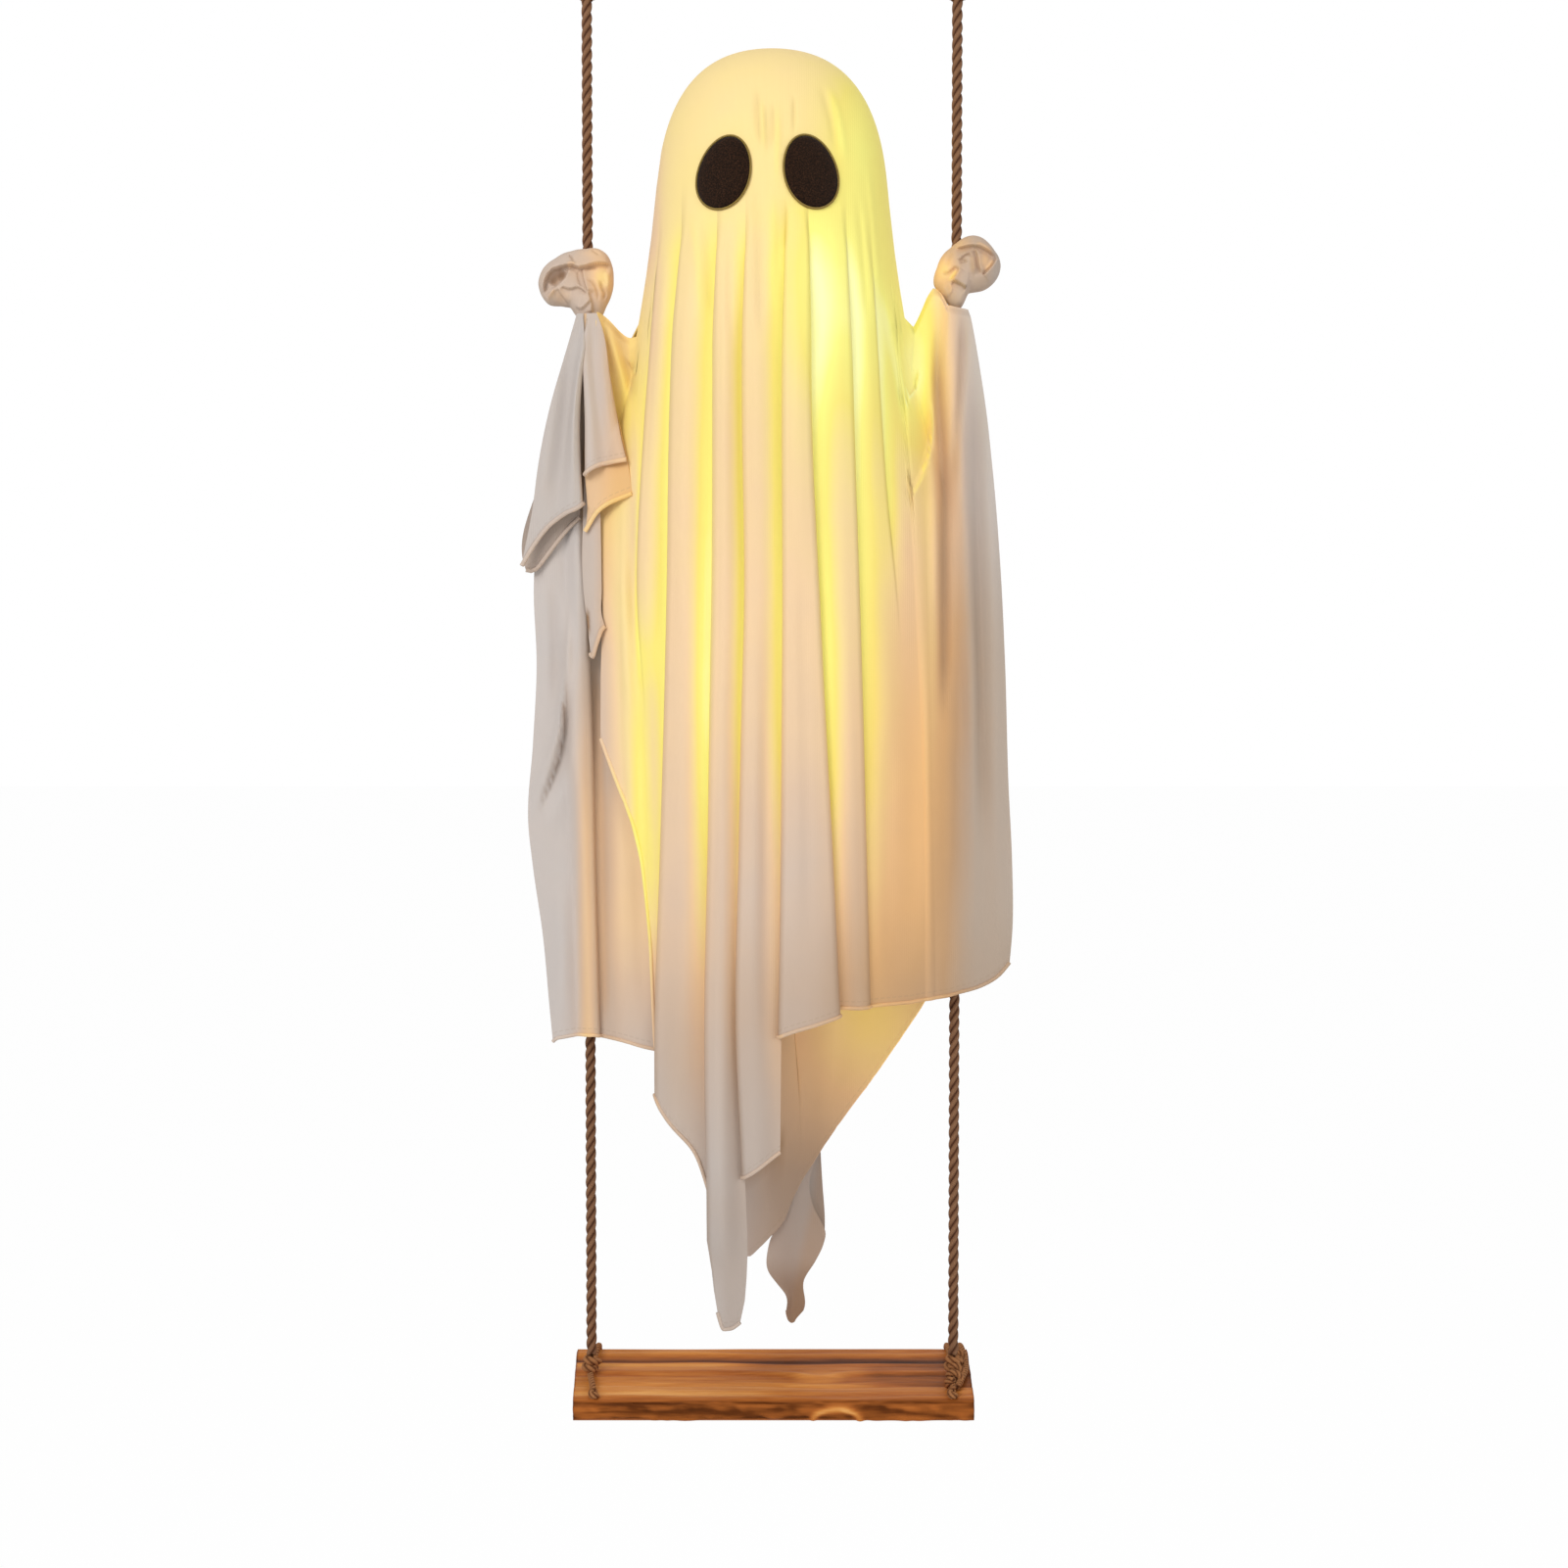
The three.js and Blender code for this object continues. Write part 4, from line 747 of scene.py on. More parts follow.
def clothAttributes(extra):
    # lamp light, how orange it is, shade, and millimetres above the hem, for the cloth's material
    x, z, form = extra["x"], extra["z"], clothLight
    lamp = smoothLine(glowForm["heights"], glowForm["levels"], z)
    hollow = extra["hollow"] ** form["hollowPower"] - form["hollowMean"]
    lamp = lamp + smoothLine(glowForm["hollowHeights"], glowForm["hollowGains"], z) * hollow
    lamp = addPatches(lamp, x, z, glowForm["spots"], 1 - form["farSpots"] * extra["far"])
    lamp = (lamp + extra["light"]) * easeDown(x, *glowForm["rightFade"]) * (1 - form["farDim"] * extra["far"])
    amber = addPatches(form["lowAmber"] * easeDown(z, *form["lowDown"]), x, z, glowForm["amberSpots"])
    amber = amber + form["sideAmber"] * easeUp(x, *form["sideOut"]) * mix(form["sideTop"], 1,
                                                                          easeDown(z, *form["sideDown"]))
    low = form["hemShade"] * easeDown(z, *form["hemDown"]) * easeUp(x, *form["hemOut"])
    low = low + form["tailShade"] * easeDown(z, *form["tailDown"])
    return {"lamp": np.clip(lamp, 0, 1), "amber": np.clip(amber, 0, 1),
            "fold": shadeOf(form["turnShade"], extra, low), "hem": extra["hem"]}


def withHem(points, faces, attributes, columns, radius=sheetForm["hemRadius"]):
    # the strip and its rolled hem: a thin tube along the last row, painted a little paler than the cloth above it,
    # with more lamp light and less shade as a painted highlight
    path = pathThrough(points[-1], max(int(columns * 1.2), 16))
    tube = sweep(path, radius, 8)
    order = np.argsort(points[-1, :, 0])
    hem = {key: np.interp(tube[:, 0], points[-1, order, 0], values[-1, order])
           for key, values in attributes.items()}
    hem["fold"] = hem["fold"] * clothLight["hemFold"]
    hem["lamp"] = np.minimum(hem["lamp"] + clothLight["hemLamp"], 1)
    return [(points.reshape(-1, 3), faces, attributes), (tube, gridFaces(len(path), 8, closedAcross=True), hem)]


def sheetParts(lines, strips, facing, rows, flatSpots=(), creases=()):
    # every strip with its rolled hem, joined
    parts = []
    for first, last, hem in strips:
        points, faces, extra = pleatedStrip(lines[first:last + 1], hem, facing, rows, clothDepth,
                                            flatSpots=flatSpots, creases=creases)
        parts += withHem(points, faces, clothAttributes(extra), points.shape[1])
    return joinParts(parts)


def finishSheet(piece, node):
    # cloth thickness grows inwards; the piece stands for its CAD solid, if it has one
    sharpenRims(piece.data)
    thick = piece.modifiers.new("thickness", "SOLIDIFY")
    thick.thickness = sheetForm["thickness"] * mm
    thick.offset = -1
    dress(piece, "swing", node)
    cloth = np.empty(len(piece.data.polygons), np.float32)
    piece.data.polygons.foreach_get("area", cloth)
    print(piece.name, len(cloth), "faces, cloth area", round(float(cloth.sum()), 4), "square metres")


# Clear head form under the hood: a moulded dome with a socket for the spine, turned about its axis.
headForm = {"wall": 2.2, "drop": 188, "gap": 6, "below": 0.7, "solidTop": 7, "socketBelow": 0.6, "socketOut": 9.3,
            "socketIn": 6.3, "socketDeep": 26, "axis": 0.05}
headDrops = headForm["drop"] * np.linspace(0, 1, 40) ** 2
headRadii = np.maximum(sheetForm["depthShare"] * headHalf(headDrops) - headForm["gap"], headForm["axis"])
headZ = crownZ - sheetForm["thickness"] - headForm["below"] - headDrops
socketZ = crownZ + sheetForm["crownSink"] - sheetForm["thickness"] - headForm["socketBelow"] - 2 * headForm["wall"]
socketEnd = socketZ - headForm["socketDeep"]
inner = headDrops > headForm["solidTop"]
radii = np.concatenate([headRadii, headRadii[inner][::-1] - headForm["wall"], [headForm["socketOut"]] * 2,
                        [headForm["socketIn"]] * 2, [headForm["axis"]]])
heights = np.concatenate([headZ, headZ[inner][::-1] - 0.5 * headForm["wall"],
                          [socketZ - 1, socketEnd, socketEnd, socketZ, socketZ]])
head = putMesh("head_dome", *turned(radii, heights, 64), frosted)
dress(head, "swing", "head_form")

# Eyes lie where the cloth is drawn flat on the hood.
eyeForm = {"width": 37.5, "height": 52.5, "drop": 110, "middleX": -3, "spacing": 62.5, "tilt": 13, "thickness": 1.6,
           "rim": 0.8, "rimLift": 1.1, "egg": 0.07, "lift": 0.8, "felt": 0.6, "rings": 21, "around": 96}
eyeCentres = [(eyeForm["middleX"] + side * eyeForm["spacing"] / 2, crownZ - eyeForm["drop"]) for _, side in sides]
flatSpots = [(x, z, 0.56 * eyeForm["width"], 0.54 * eyeForm["height"]) for x, z in eyeCentres]

# Front of the sheet. A strip runs between two lines of the list, (first, last, its hem's (x, z) spots).
frontLines = [
    foldLine(-2.0, (-303, -132), (-395, -136), (-450, -135), (-500, -131), (-530, -127), (-550, -128), (-600, -129),
             (-625, -129), (-700, -124)),
    foldLine(-1.62, (-312, -124), (-395, -117), (-529, -114), (-607, -113), (-700, -108), (-800, -99), bump=1.5),
    foldLine(-1.3, (-319, -115), (-395, -107), (-529, -105), (-607, -103), (-700, -100), (-860, -93), bump=-1.0),
    foldLine(-0.81, (-255, -83.5), (-320, -87), (-395, -93), (-529, -99), (-607, -95), (-700, -92), (-860, -89),
             roll=1, height=6, start=-230, grow=110, end=-620, fade=120),
    foldLine(-0.636, (-255, -65.5), (-395, -72), (-529, -75), (-607, -77), (-700, -80), (-844, -85), (-1000, -84),
             roll=1, height=10, start=-210),
    foldLine(-0.38, (-255, -39), (-395, -40), (-529, -41.5), (-607, -43), (-700, -44.5), (-844, -47.5), (-965, -46),
             (-1020, -45), (-1045, -42), (-1065, -38), roll=1, height=10, start=-215, end=-1030, fade=40),
    foldLine(-0.18, (-255, -18.5), (-395, -19), (-529, -18), (-607, -20), (-700, -22), (-844, -24.5), (-950, -20),
             (-1020, -18.5), (-1045, -20.5), (-1065, -25), roll=1, height=8.5, start=-215),
    foldLine(0.097, (-255, 10), (-395, 9.5), (-529, 10), (-607, 9.5), (-700, 9), (-844, 7), (-950, 6), roll=1,
             height=9, start=-215),
    foldLine(0.257, (-255, 26.5), (-395, 26.5), (-529, 33), (-607, 37), (-700, 42), (-844, 49), roll=-1, height=9.5,
             start=-205),
    foldLine(0.52, (-255, 53.6), (-395, 58), (-529, 63), (-607, 65.5), (-700, 68), (-844, 72), roll=-1, height=7.5,
             start=-215),
    foldLine(0.7, (-255, 72), (-346, 77), (-448, 84.5), (-529, 94), (-607, 100), (-700, 103), (-844, 108), roll=-1,
             height=4.0, start=-215, end=-560, fade=150),
    foldLine(0.86, (-255, 88), (-346, 92), (-448, 102), (-529, 107), (-607, 111), (-700, 114), (-844, 116),
             bump=1.5),
    foldLine(1.35, (-316, 114), (-395, 112), (-448, 114), (-529, 117), (-607, 119), (-844, 124), bump=-1.0),
    foldLine(2.05, (-303, 133), (-350, 131), (-430, 133), (-529, 136), (-607, 138), (-844, 142), bump=1.0),
    foldLine(3.0, (-299, 148), (-319, 152), (-363, 159), (-422, 166), (-496, 172), (-570, 176), (-659, 179),
             (-719, 182), (-770, 182.5), (-800, 180)),
]
frontStrips = [
    (0, 4, [(-129, -625), (-116, -658), (-104, -687), (-97, -716), (-92, -760), (-88, -805), (-84, -858)]),
    (4, 5, [(-87, -889), (-85, -896), (-81.6, -903), (-74, -912), (-65, -921), (-57, -931), (-53, -937),
            (-50.6, -946), (-50, -958), (-46, -965)]),
    (5, 6, [(-44, -1036), (-41.4, -1050), (-38.5, -1059), (-35.5, -1064), (-32.6, -1065.7), (-27.6, -1064),
            (-22.6, -1058), (-20.4, -1052), (-18.5, -1042)]),
    (6, 7, [(-22, -950), (6, -931)]),
    (7, 8, [(6, -844), (10, -841), (50, -829)]),
    (8, 14, [(48, -824), (96, -823), (133, -820), (157, -814), (170, -807), (178, -800), (181.5, -793),
             (183, -785)]),
]
frontCreases = [
    # pockets under the right arm, and the folds that fall from that hand
    step(2.6, 5, (110.5, -345), (109.5, -356), (105.5, -366), (100, -372), (93, -379), light=0.14, glowWidth=1.6,
         shade=0.15, ends=0.2),
    step(3.0, 8, (120, -366), (118.5, -404), (111, -428), (96, -455), light=0.16, glowWidth=1.8, ends=0.25),
    bell(-2.2, 4, (80, -290), (86, -330), (95, -372), (100, -405), light=0.1),
    bell(-5.5, 4.5, (129, -300), (125.8, -322), (126, -355), (128, -393), (130, -425), (129.5, -483), (130, -541),
         (130, -620), shade=0.42, light=-0.16, ends=0.2),
    bell(4.5, 6, (136, -300), (138.5, -376), (142, -424), (146, -483), (150, -560), (153, -680), light=0.14),
    bell(-3.5, 3, (144.2, -300), (143.5, -328), (142.2, -360), (138.5, -400), (136, -445), shade=0.24, ends=0.2),
    bell(3.5, 4.5, (121, -312), (119, -350), (121, -410), (123, -470), (124, -560), light=-0.08),
    bell(-3.4, 5, (150, -330), (155, -400), (156, -470), (158, -560), (161, -720), shade=0.26, ends=0.2),
    bell(2.6, 6, (163, -410), (167, -520), (169, -640), (171, -790)),
    bell(2.6, 8, (120, -540), (118, -640), (116, -800)),
    bell(-2.6, 7, (140, -520), (143, -640), (144, -790), shade=0.08),
    bell(-2.4, 7, (88, -600), (86, -700), (88, -815)),
    # the left arm: bands that fan out from the hand, and the crease at the neck
    bell(3, 3.6, (-127, -305), (-120, -328), (-112, -356), (-105, -400), light=0.06),
    bell(-1.2, 3.6, (-121, -307), (-113, -328), (-107, -350), (-101, -378), shade=0.2),
    step(2.2, 4, (-112, -334), (-105, -346), (-95, -359), shade=0.25, glowWidth=1.6),
    bell(2, 5, (-117, -470), (-112, -520), (-108, -575), (-100, -625)),
    bell(-2, 5, (-110, -430), (-104, -500), (-101, -560)),
    # the forehead, drawn in between the eyes, and under them
    bell(-1.5, 1.9, (-10.5, -152), (-10.3, -174), (-8, -204), shade=0.16),
    bell(1.5, 1.8, (-7.5, -160), (-6.4, -180), (-5.4, -206), light=0.04),
    bell(-1.2, 1.8, (-5, -166), (-3.5, -185), (-3, -208), shade=0.12),
    bell(-1.4, 1.7, (0.8, -164), (0.6, -182), (0.3, -205), shade=0.15),
    bell(1.3, 2.2, (4, -166), (4.5, -190), (3.5, -230), light=0.05),
    bell(-1.2, 1.6, (16.3, -160), (16.3, -175), (16, -192), shade=0.12),
    bell(-1.2, 2.6, (35, -148), (43, -178), (46.5, -202), shade=0.07),
    bell(1.1, 3.0, (41, -146), (50, -180), (54, -212), light=0.07),
    bell(-1.5, 2.6, (-51, -246), (-47, -272), (-42, -330), shade=0.08),
    bell(1.2, 3.0, (-58, -244), (-54, -275), (-50, -330), light=0.05),
    bell(-1.4, 3.2, (-29, -252), (-30, -290), (-30, -350)),
    bell(-1.8, 3.0, (-13, -215), (-10, -260), (-8, -350), shade=0.08),
    bell(1.5, 3.0, (2, -228), (1.5, -270), (2, -330), light=0.05),
    bell(-1.2, 1.6, (9.8, -236), (9.8, -280), shade=0.14),
    bell(-1.2, 3.4, (40, -250), (41, -290), (42, -340)),
    bell(-1.6, 2.6, (62, -225), (66, -270), (70, -330)),
    bell(1.4, 2.6, (70, -200), (75, -250), (79, -310)),
    # bands on the low cloth
    bell(1.6, 6, (-66, -560), (-64, -700), (-64, -900)),
    bell(1.6, 5, (-31, -600), (-33, -760), (-34, -960)),
    bell(-1.8, 4.5, (-4, -560), (-5, -700), (-4, -900)),
    bell(-1.6, 5, (21, -460), (24, -600), (27, -800)),
]
points, faces, attributes = sheetParts(frontLines, frontStrips, -1, 118, flatSpots, frontCreases)
front = putMesh("sheet_front", points, faces, sheetCloth, attributes)
finishSheet(front, "front_sheet")

# Back of the sheet, with the slanting hem seen under the front.
backLines = [
    foldLine(-3.0, (-299, -148), (-340, -154), (-423, -168), (-560, -172), (-700, -174), (-860, -163)),
    foldLine(-2.4, (-303, -138), (-423, -143), (-560, -148), (-700, -144), (-860, -140), roll=1, height=6,
             start=-300, grow=60),
    foldLine(-1.6, (-312, -123), (-423, -120), (-560, -119), (-860, -114), roll=1, height=6, start=-340),
    foldLine(-1.0, (-321, -103), (-423, -99), (-560, -97), (-860, -92), roll=-1, height=6, start=-260),
    foldLine(-0.7, (-255, -72), (-423, -68), (-560, -66), (-860, -60), (-1000, -56), roll=-1, height=8, start=-230),
    foldLine(-0.38, (-255, -39), (-423, -35), (-560, -34), (-860, -32), (-1040, -27), roll=-1, height=8,
             start=-220),
    foldLine(-0.1, (-255, -10), (-423, -6), (-560, -3), (-860, -4), (-1040, -8), roll=1, height=8, start=-220,
             end=-900),
    foldLine(0.16, (-255, 16.5), (-423, 20), (-560, 22), (-860, 17), (-915, 21), (-950, 22), (-1000, 16), roll=1,
             height=5, start=-225, end=-960, fade=120),
    foldLine(0.42, (-255, 43), (-423, 45), (-560, 48), (-860, 50), (-950, 44), roll=1, height=8, start=-220,
             end=-740),
    foldLine(0.72, (-255, 74), (-423, 72), (-560, 74), (-860, 80), roll=-1, height=7, start=-230, end=-740),
    foldLine(1.0, (-321, 103), (-423, 100), (-560, 101), (-860, 106), roll=-1, height=6, start=-280, end=-740),
    foldLine(1.7, (-310, 126), (-423, 122), (-560, 122), (-860, 124), roll=-1, height=6, start=-320, end=-740),
    foldLine(2.4, (-303, 138), (-423, 144), (-560, 147), (-860, 148), bump=3),
    foldLine(3.0, (-299, 148), (-330, 154), (-423, 164), (-560, 169), (-700, 173), (-860, 172)),
]
backStrips = [
    (0, 7, [(-170, -846), (-90, -850), (-70, -880), (-48, -940), (-30, -1030), (-20, -1043), (-5.6, -1029),
            (3.7, -1019.5), (9.6, -1012), (14.3, -999), (20, -986)]),
    (7, 13, [(11, -1008), (14.3, -999), (22.5, -981.6), (29.5, -970), (41, -951), (60, -922.7), (81, -893),
             (99.5, -864), (115.7, -838), (128, -815), (145, -802), (175, -798)]),
]
backCreases = [
    # over the left arm's pleat
    bell(2.8, 8, (-131, -312), (-126, -333), (-121, -362)),
    bell(1.5, 12, (60, -840), (52, -880), (44, -930)),
    bell(3, 7, (-8, -960), (-4, -985), (2, -1010), light=0.1),
]
points, faces, attributes = sheetParts(backLines, backStrips, 1, 110, creases=backCreases)
# The low back is lit from inside the skirt: brightest at the right, under the front's hem, with a shaded band
# along the point's edge. Lamp and inside light are given as (everywhere, above the point, in the bright spot).
backGlow = {
    "down": (-700, 125), "out": (-30, 40), "spot": (78, -838, 74, 98), "pointUp": (-1010, 90), "amber": 0.6,
    "lamp": (0.1, 0.08, 0.5), "inside": (0.04, 0.12, 0.56), "bandAt": (10, -952), "bandSlope": 0.67,
    "bandWide": 13, "bandEnd": (12, 6), "bandDown": (-925, 10), "bandShade": 0.35,
}
x, z = points[:, 0], points[:, 2]
lit = easeDown(z, *backGlow["down"]) * easeUp(x, *backGlow["out"])
shares = np.stack([np.ones(len(x)), easeUp(z, *backGlow["pointUp"]), patch(x, z, *backGlow["spot"])], 1)
bandX, bandZ = backGlow["bandAt"]
bandGap = (z - bandZ - backGlow["bandSlope"] * (x - bandX)) / backGlow["bandWide"]
band = np.exp(-bandGap ** 4) * easeDown(x, *backGlow["bandEnd"]) * easeDown(z, *backGlow["bandDown"])
attributes["lamp"] = mix(attributes["lamp"], shares @ backGlow["lamp"], lit)
attributes["amber"] = mix(attributes["amber"], backGlow["amber"], lit)
attributes["inside"] = np.clip(lit * (shares @ backGlow["inside"]), 0, 1)
attributes["fold"] = np.clip(attributes["fold"] + backGlow["bandShade"] * band, 0, 0.9)
back = putMesh("sheet_back", points, faces, sheetCloth, attributes, flip=True)
finishSheet(back, "back_sheet")


def hangingTop(x0, x1, z, y, last):
    # a short straight top edge, for a strip that hangs from behind another
    def top(share):
        return mix(x0, x1, share / last), np.full_like(share, z), np.full_like(share, y)
    return top


# The lowest point of the back: a strip that hangs behind the slanting hem and twists, in two layers. Each layer's
# 'dim' is its painted lamp light, its 'fold' its painted shade.
pointLayers = [
    {
        "lines": [
            foldLine(0, (-900, 27), (-960, 24), (-1010, 24), (-1050, 26)),
            foldLine(1, (-900, 38), (-940, 41), (-985, 42), (-1023, 42), (-1032, 41), bump=1.5),
        ],
        "hem": [(24, -1040), (30, -1046), (36, -1040), (43, -1030)],
        "y": 66, "dim": 0.0, "fold": 0.15,
    },
    {
        "lines": [
            foldLine(0, (-900, 27), (-960, 22), (-985, 16), (-999, 10), (-1015, 7), (-1027, -1), (-1037, -3.9),
                     (-1056, -3.4), (-1066, 3.7), (-1074, 10), (-1092, 10.3), bump=2.5),
            foldLine(0.45, (-900, 30), (-960, 26), (-985, 23), (-1010, 22), (-1040, 17), (-1066, 16), (-1092, 15),
                     bump=-1.5),
            foldLine(1, (-900, 33), (-960, 27), (-984, 23.5), (-991, 25), (-1003, 30), (-1014, 37), (-1024, 42),
                     (-1032, 41), (-1046, 34.4), (-1060, 25.5), (-1087, 24), (-1094, 19)),
        ],
        "hem": [(-5, -1058), (3.7, -1067), (10, -1078), (10.8, -1090), (12.5, -1096), (15, -1097), (19, -1094.5),
                (24, -1086)],
        "y": 61, "dim": 0.06, "fold": 0.05,
    },
]
parts = []
for layer in pointLayers:
    def layerDepth(x, z, topX, topZ, start, y=layer["y"]):
        return y + 1.5 * np.sin(x / 7 + z / 60)
    points, faces, extra = pleatedStrip(layer["lines"], layer["hem"], 1, 60, layerDepth,
                                        hangingTop(25, 38, -946, 0, 1), 1.1)
    x, z = extra["x"], extra["z"]
    # painted lamp light rising a little to the right, and painted shade that grows to the right and is darkest at
    # the tip
    across = ease((x - 14 - 0.2 * (z + 1060)) / 10)
    parts += withHem(points, faces, {"lamp": layer["dim"] + 0.1 * across, "amber": np.full(x.shape, 0.4),
                                     "fold": layer["fold"] + 0.12 * across + 0.42 * easeDown(z, -1040, 30),
                                     "hem": extra["hem"] + 8}, 30)
points, faces, attributes = joinParts(parts)
lowPoint = putMesh("sheet_back_point", points, faces, sheetCloth, attributes, flip=True)
finishSheet(lowPoint, None)

# Left fall, behind the body's free edge: from the hand to the lower left hem.
fallLines = [
    foldLine(0, (-303, -148), (-321, -153), (-365, -162), (-423, -172), (-511, -180), (-570, -178), (-629, -181),
             (-689, -185), (-719, -182), (-779, -174), (-824, -170), (-856, -167), bump=2.0),
    foldLine(1, (-303, -145), (-423, -156), (-511, -156), (-603, -155), (-656, -156), (-740, -152), (-860, -149),
             bump=1.5),
    foldLine(2, (-303, -140), (-450, -141), (-564, -139), (-621, -137), (-733, -135), (-855, -132), roll=-1,
             height=7, start=-380),
    foldLine(3, (-303, -137), (-423, -124), (-560, -112), (-700, -110), (-860, -108), bump=2.0),
    foldLine(4, (-303, -134), (-423, -100), (-560, -82), (-700, -78), (-860, -80)),
]
fallCreases = [
    bell(5, 3.4, (-182, -668), (-172, -648), (-163, -625), (-157, -600), (-154, -560), (-153, -520), ends=0.3),
    step(5, 7, (-181, -685), (-171, -662), (-161, -634), (-157, -600), (-155, -570), shade=0.5, glowWidth=2.6,
         ends=0.3),
    bell(3.4, 5, (-176, -700), (-163, -680), (-155, -650), (-151, -610), (-149, -560)),
    bell(2.6, 5, (-156, -500), (-153, -560), (-149, -640), (-146, -700), light=0.04),
    bell(-2.4, 4, (-165, -500), (-164, -560), (-165, -610), shade=0.08),
    bell(-3, 4, (-133, -560), (-130, -680), (-128, -850), shade=0.1, light=0.14, ends=0.12),
    bell(2.2, 7, (-160, -720), (-158, -790), (-156, -850)),
    bell(2.4, 7, (-115, -650), (-112, -740), (-110, -850)),
    bell(-2.0, 6, (-100, -700), (-98, -780), (-97, -850)),
    bell(-1, 3, (-141, -300), (-141.5, -380), (-141, -450), (-140, -500), shade=0.5, ends=0.1),
]
fallHem = [(-168, -857), (-165, -853), (-138, -849), (-89, -859), (-78, -861)]


# The fall under the hand: its gap to the ropes' plane, the share of the body's depth it takes higher up, and
# how far it dips under its outer edge. Ranges are (edge, length).
fallForm = {"gap": 7, "share": 0.52, "down": (-300, 120), "under": 14, "underOut": (-141, 12),
            "underUp": (-640, 120), "rows": 100}
# Its light: a lit stripe at x, a patch between two heights, a faint ground, and orange across its width.
fallLight = {
    "ground": 0.04, "stripe": 0.34, "stripeAt": (-140, 8.5), "stripeDown": (-520, 200), "patch": 0.4,
    "patchOut": (-137, 26), "patchDown": (-560, 150), "patchUp": (-935, 200), "turnShade": 0.22,
    "amber": 0.44, "amberOut": (-150, 12), "amberLoss": 0.36, "lossOut": (-124, 14),
}


def edgeDepth(x, z, topZ):
    # the body's depth as if under the left rope
    return clothDepth(x, z, -ropeX * np.ones_like(x), topZ, 0 * z)


def fallDepth(x, z, topX, topZ, start):
    # nearer the ropes' plane than the body, and flat against it at the outer edge
    under = fallForm["under"] * easeUp(x, *fallForm["underOut"]) * easeUp(z, *fallForm["underUp"])
    return fallForm["gap"] + fallForm["share"] * edgeDepth(x, z, topZ) * easeDown(z, *fallForm["down"]) - under


points, faces, extra = pleatedStrip(fallLines, fallHem, -1, fallForm["rows"], fallDepth,
                                    hangingTop(-148, -133, -305, 8, 4), 1.3, creases=fallCreases)
x, z = extra["x"], extra["z"]
form = fallLight
stripeX, stripeWide = form["stripeAt"]
lamp = form["stripe"] * np.exp(-((x - stripeX) / stripeWide) ** 2) * easeDown(z, *form["stripeDown"])
lamp = lamp + form["patch"] * easeUp(x, *form["patchOut"]) * easeDown(z, *form["patchDown"]) * easeUp(
    z, *form["patchUp"])
amber = form["amber"] * easeUp(x, *form["amberOut"]) - form["amberLoss"] * easeUp(x, *form["lossOut"])
attributes = {"lamp": lamp + form["ground"] + extra["light"], "amber": amber, "hem": extra["hem"],
              "fold": shadeOf(form["turnShade"], extra)}
points, faces, attributes = joinParts(withHem(points, faces, attributes, points.shape[1]))
fall = putMesh("sheet_left_fall", points, faces, sheetCloth, attributes)
finishSheet(fall, None)

# Turned-over corner under the left hand: its inside, the narrow tail that hangs out of it, the layer
# under the step, the outer panel and the right panel with its hem.
cornerPanels = [
    {
        "lift": 5, "dim": 0.0, "fold": 0.34, "right": 0.0,
        "lines": [
            foldLine(0, (-303, -147), (-365, -163), (-423, -173), (-497, -185.5), (-505, -182)),
            foldLine(1, (-303, -141), (-423, -143), (-470, -146), (-505, -152)),
        ],
        "hem": [(-186, -497), (-182, -503), (-172, -492), (-160, -475), (-152, -464), (-144, -458)],
    },
    {
        "lift": 8, "dim": 0.1, "fold": 0.0, "right": 0.3,
        "lines": [
            foldLine(0.4, (-400, -140), (-461, -142), (-497, -142.5), (-529, -140), (-545, -138), (-564, -136),
                     bump=1.5),
            foldLine(1.2, (-400, -131), (-461, -128.5), (-512, -127.5), (-535, -127), (-541, -125), (-564, -131)),
        ],
        "hem": [(-140.5, -528), (-138, -550), (-136.5, -561), (-134.6, -565), (-131.5, -557), (-129.9, -547),
                (-127.5, -542.5), (-125, -541)],
    },
    {
        "lift": 12, "dim": 0.4, "fold": 0.08, "right": 0.1,
        "lines": [
            foldLine(0.55, (-330, -139), (-426, -140), (-460, -138.5), (-476, -141), bump=2.0),
            foldLine(2.0, (-330, -120), (-396, -113), (-418, -107.5), (-444, -103.5)),
        ],
        "hem": [(-141, -477), (-139, -466), (-134, -457), (-122, -449), (-104, -443)],
    },
    {
        "lift": 14, "dim": 0.0, "fold": 0.0, "right": 0.03,
        "lines": [
            foldLine(0, (-303, -148), (-321, -153), (-365, -164), (-423, -175), (-453, -179), (-495, -187)),
            foldLine(0.45, (-303, -145), (-423, -158), (-475, -164), bump=2.0),
            foldLine(0.72, (-303, -141), (-352, -144), (-424, -143.5), (-450, -142), roll=-1, height=5, start=-303,
                     grow=40),
        ],
        "hem": [(-187, -496), (-178, -480), (-168, -467), (-156, -457), (-141, -449.5)],
    },
    {
        "lift": 16, "dim": 0.1, "fold": 0.0, "right": 0.2, "warm": 0.35,
        "lines": [
            foldLine(0.98, (-303, -138), (-352, -140), (-424, -139.5), roll=1, height=3, start=-303, grow=40),
            foldLine(1.5, (-303, -134), (-352, -131), (-424, -124), bump=1.5),
            foldLine(2.0, (-303, -132), (-313, -128), (-353, -121), (-396, -113.5), (-418, -108), roll=-1, height=2,
                     start=-303, grow=60),
        ],
        "hem": [(-139.5, -428), (-136, -424.5), (-127, -420), (-107, -418)],
    },
]
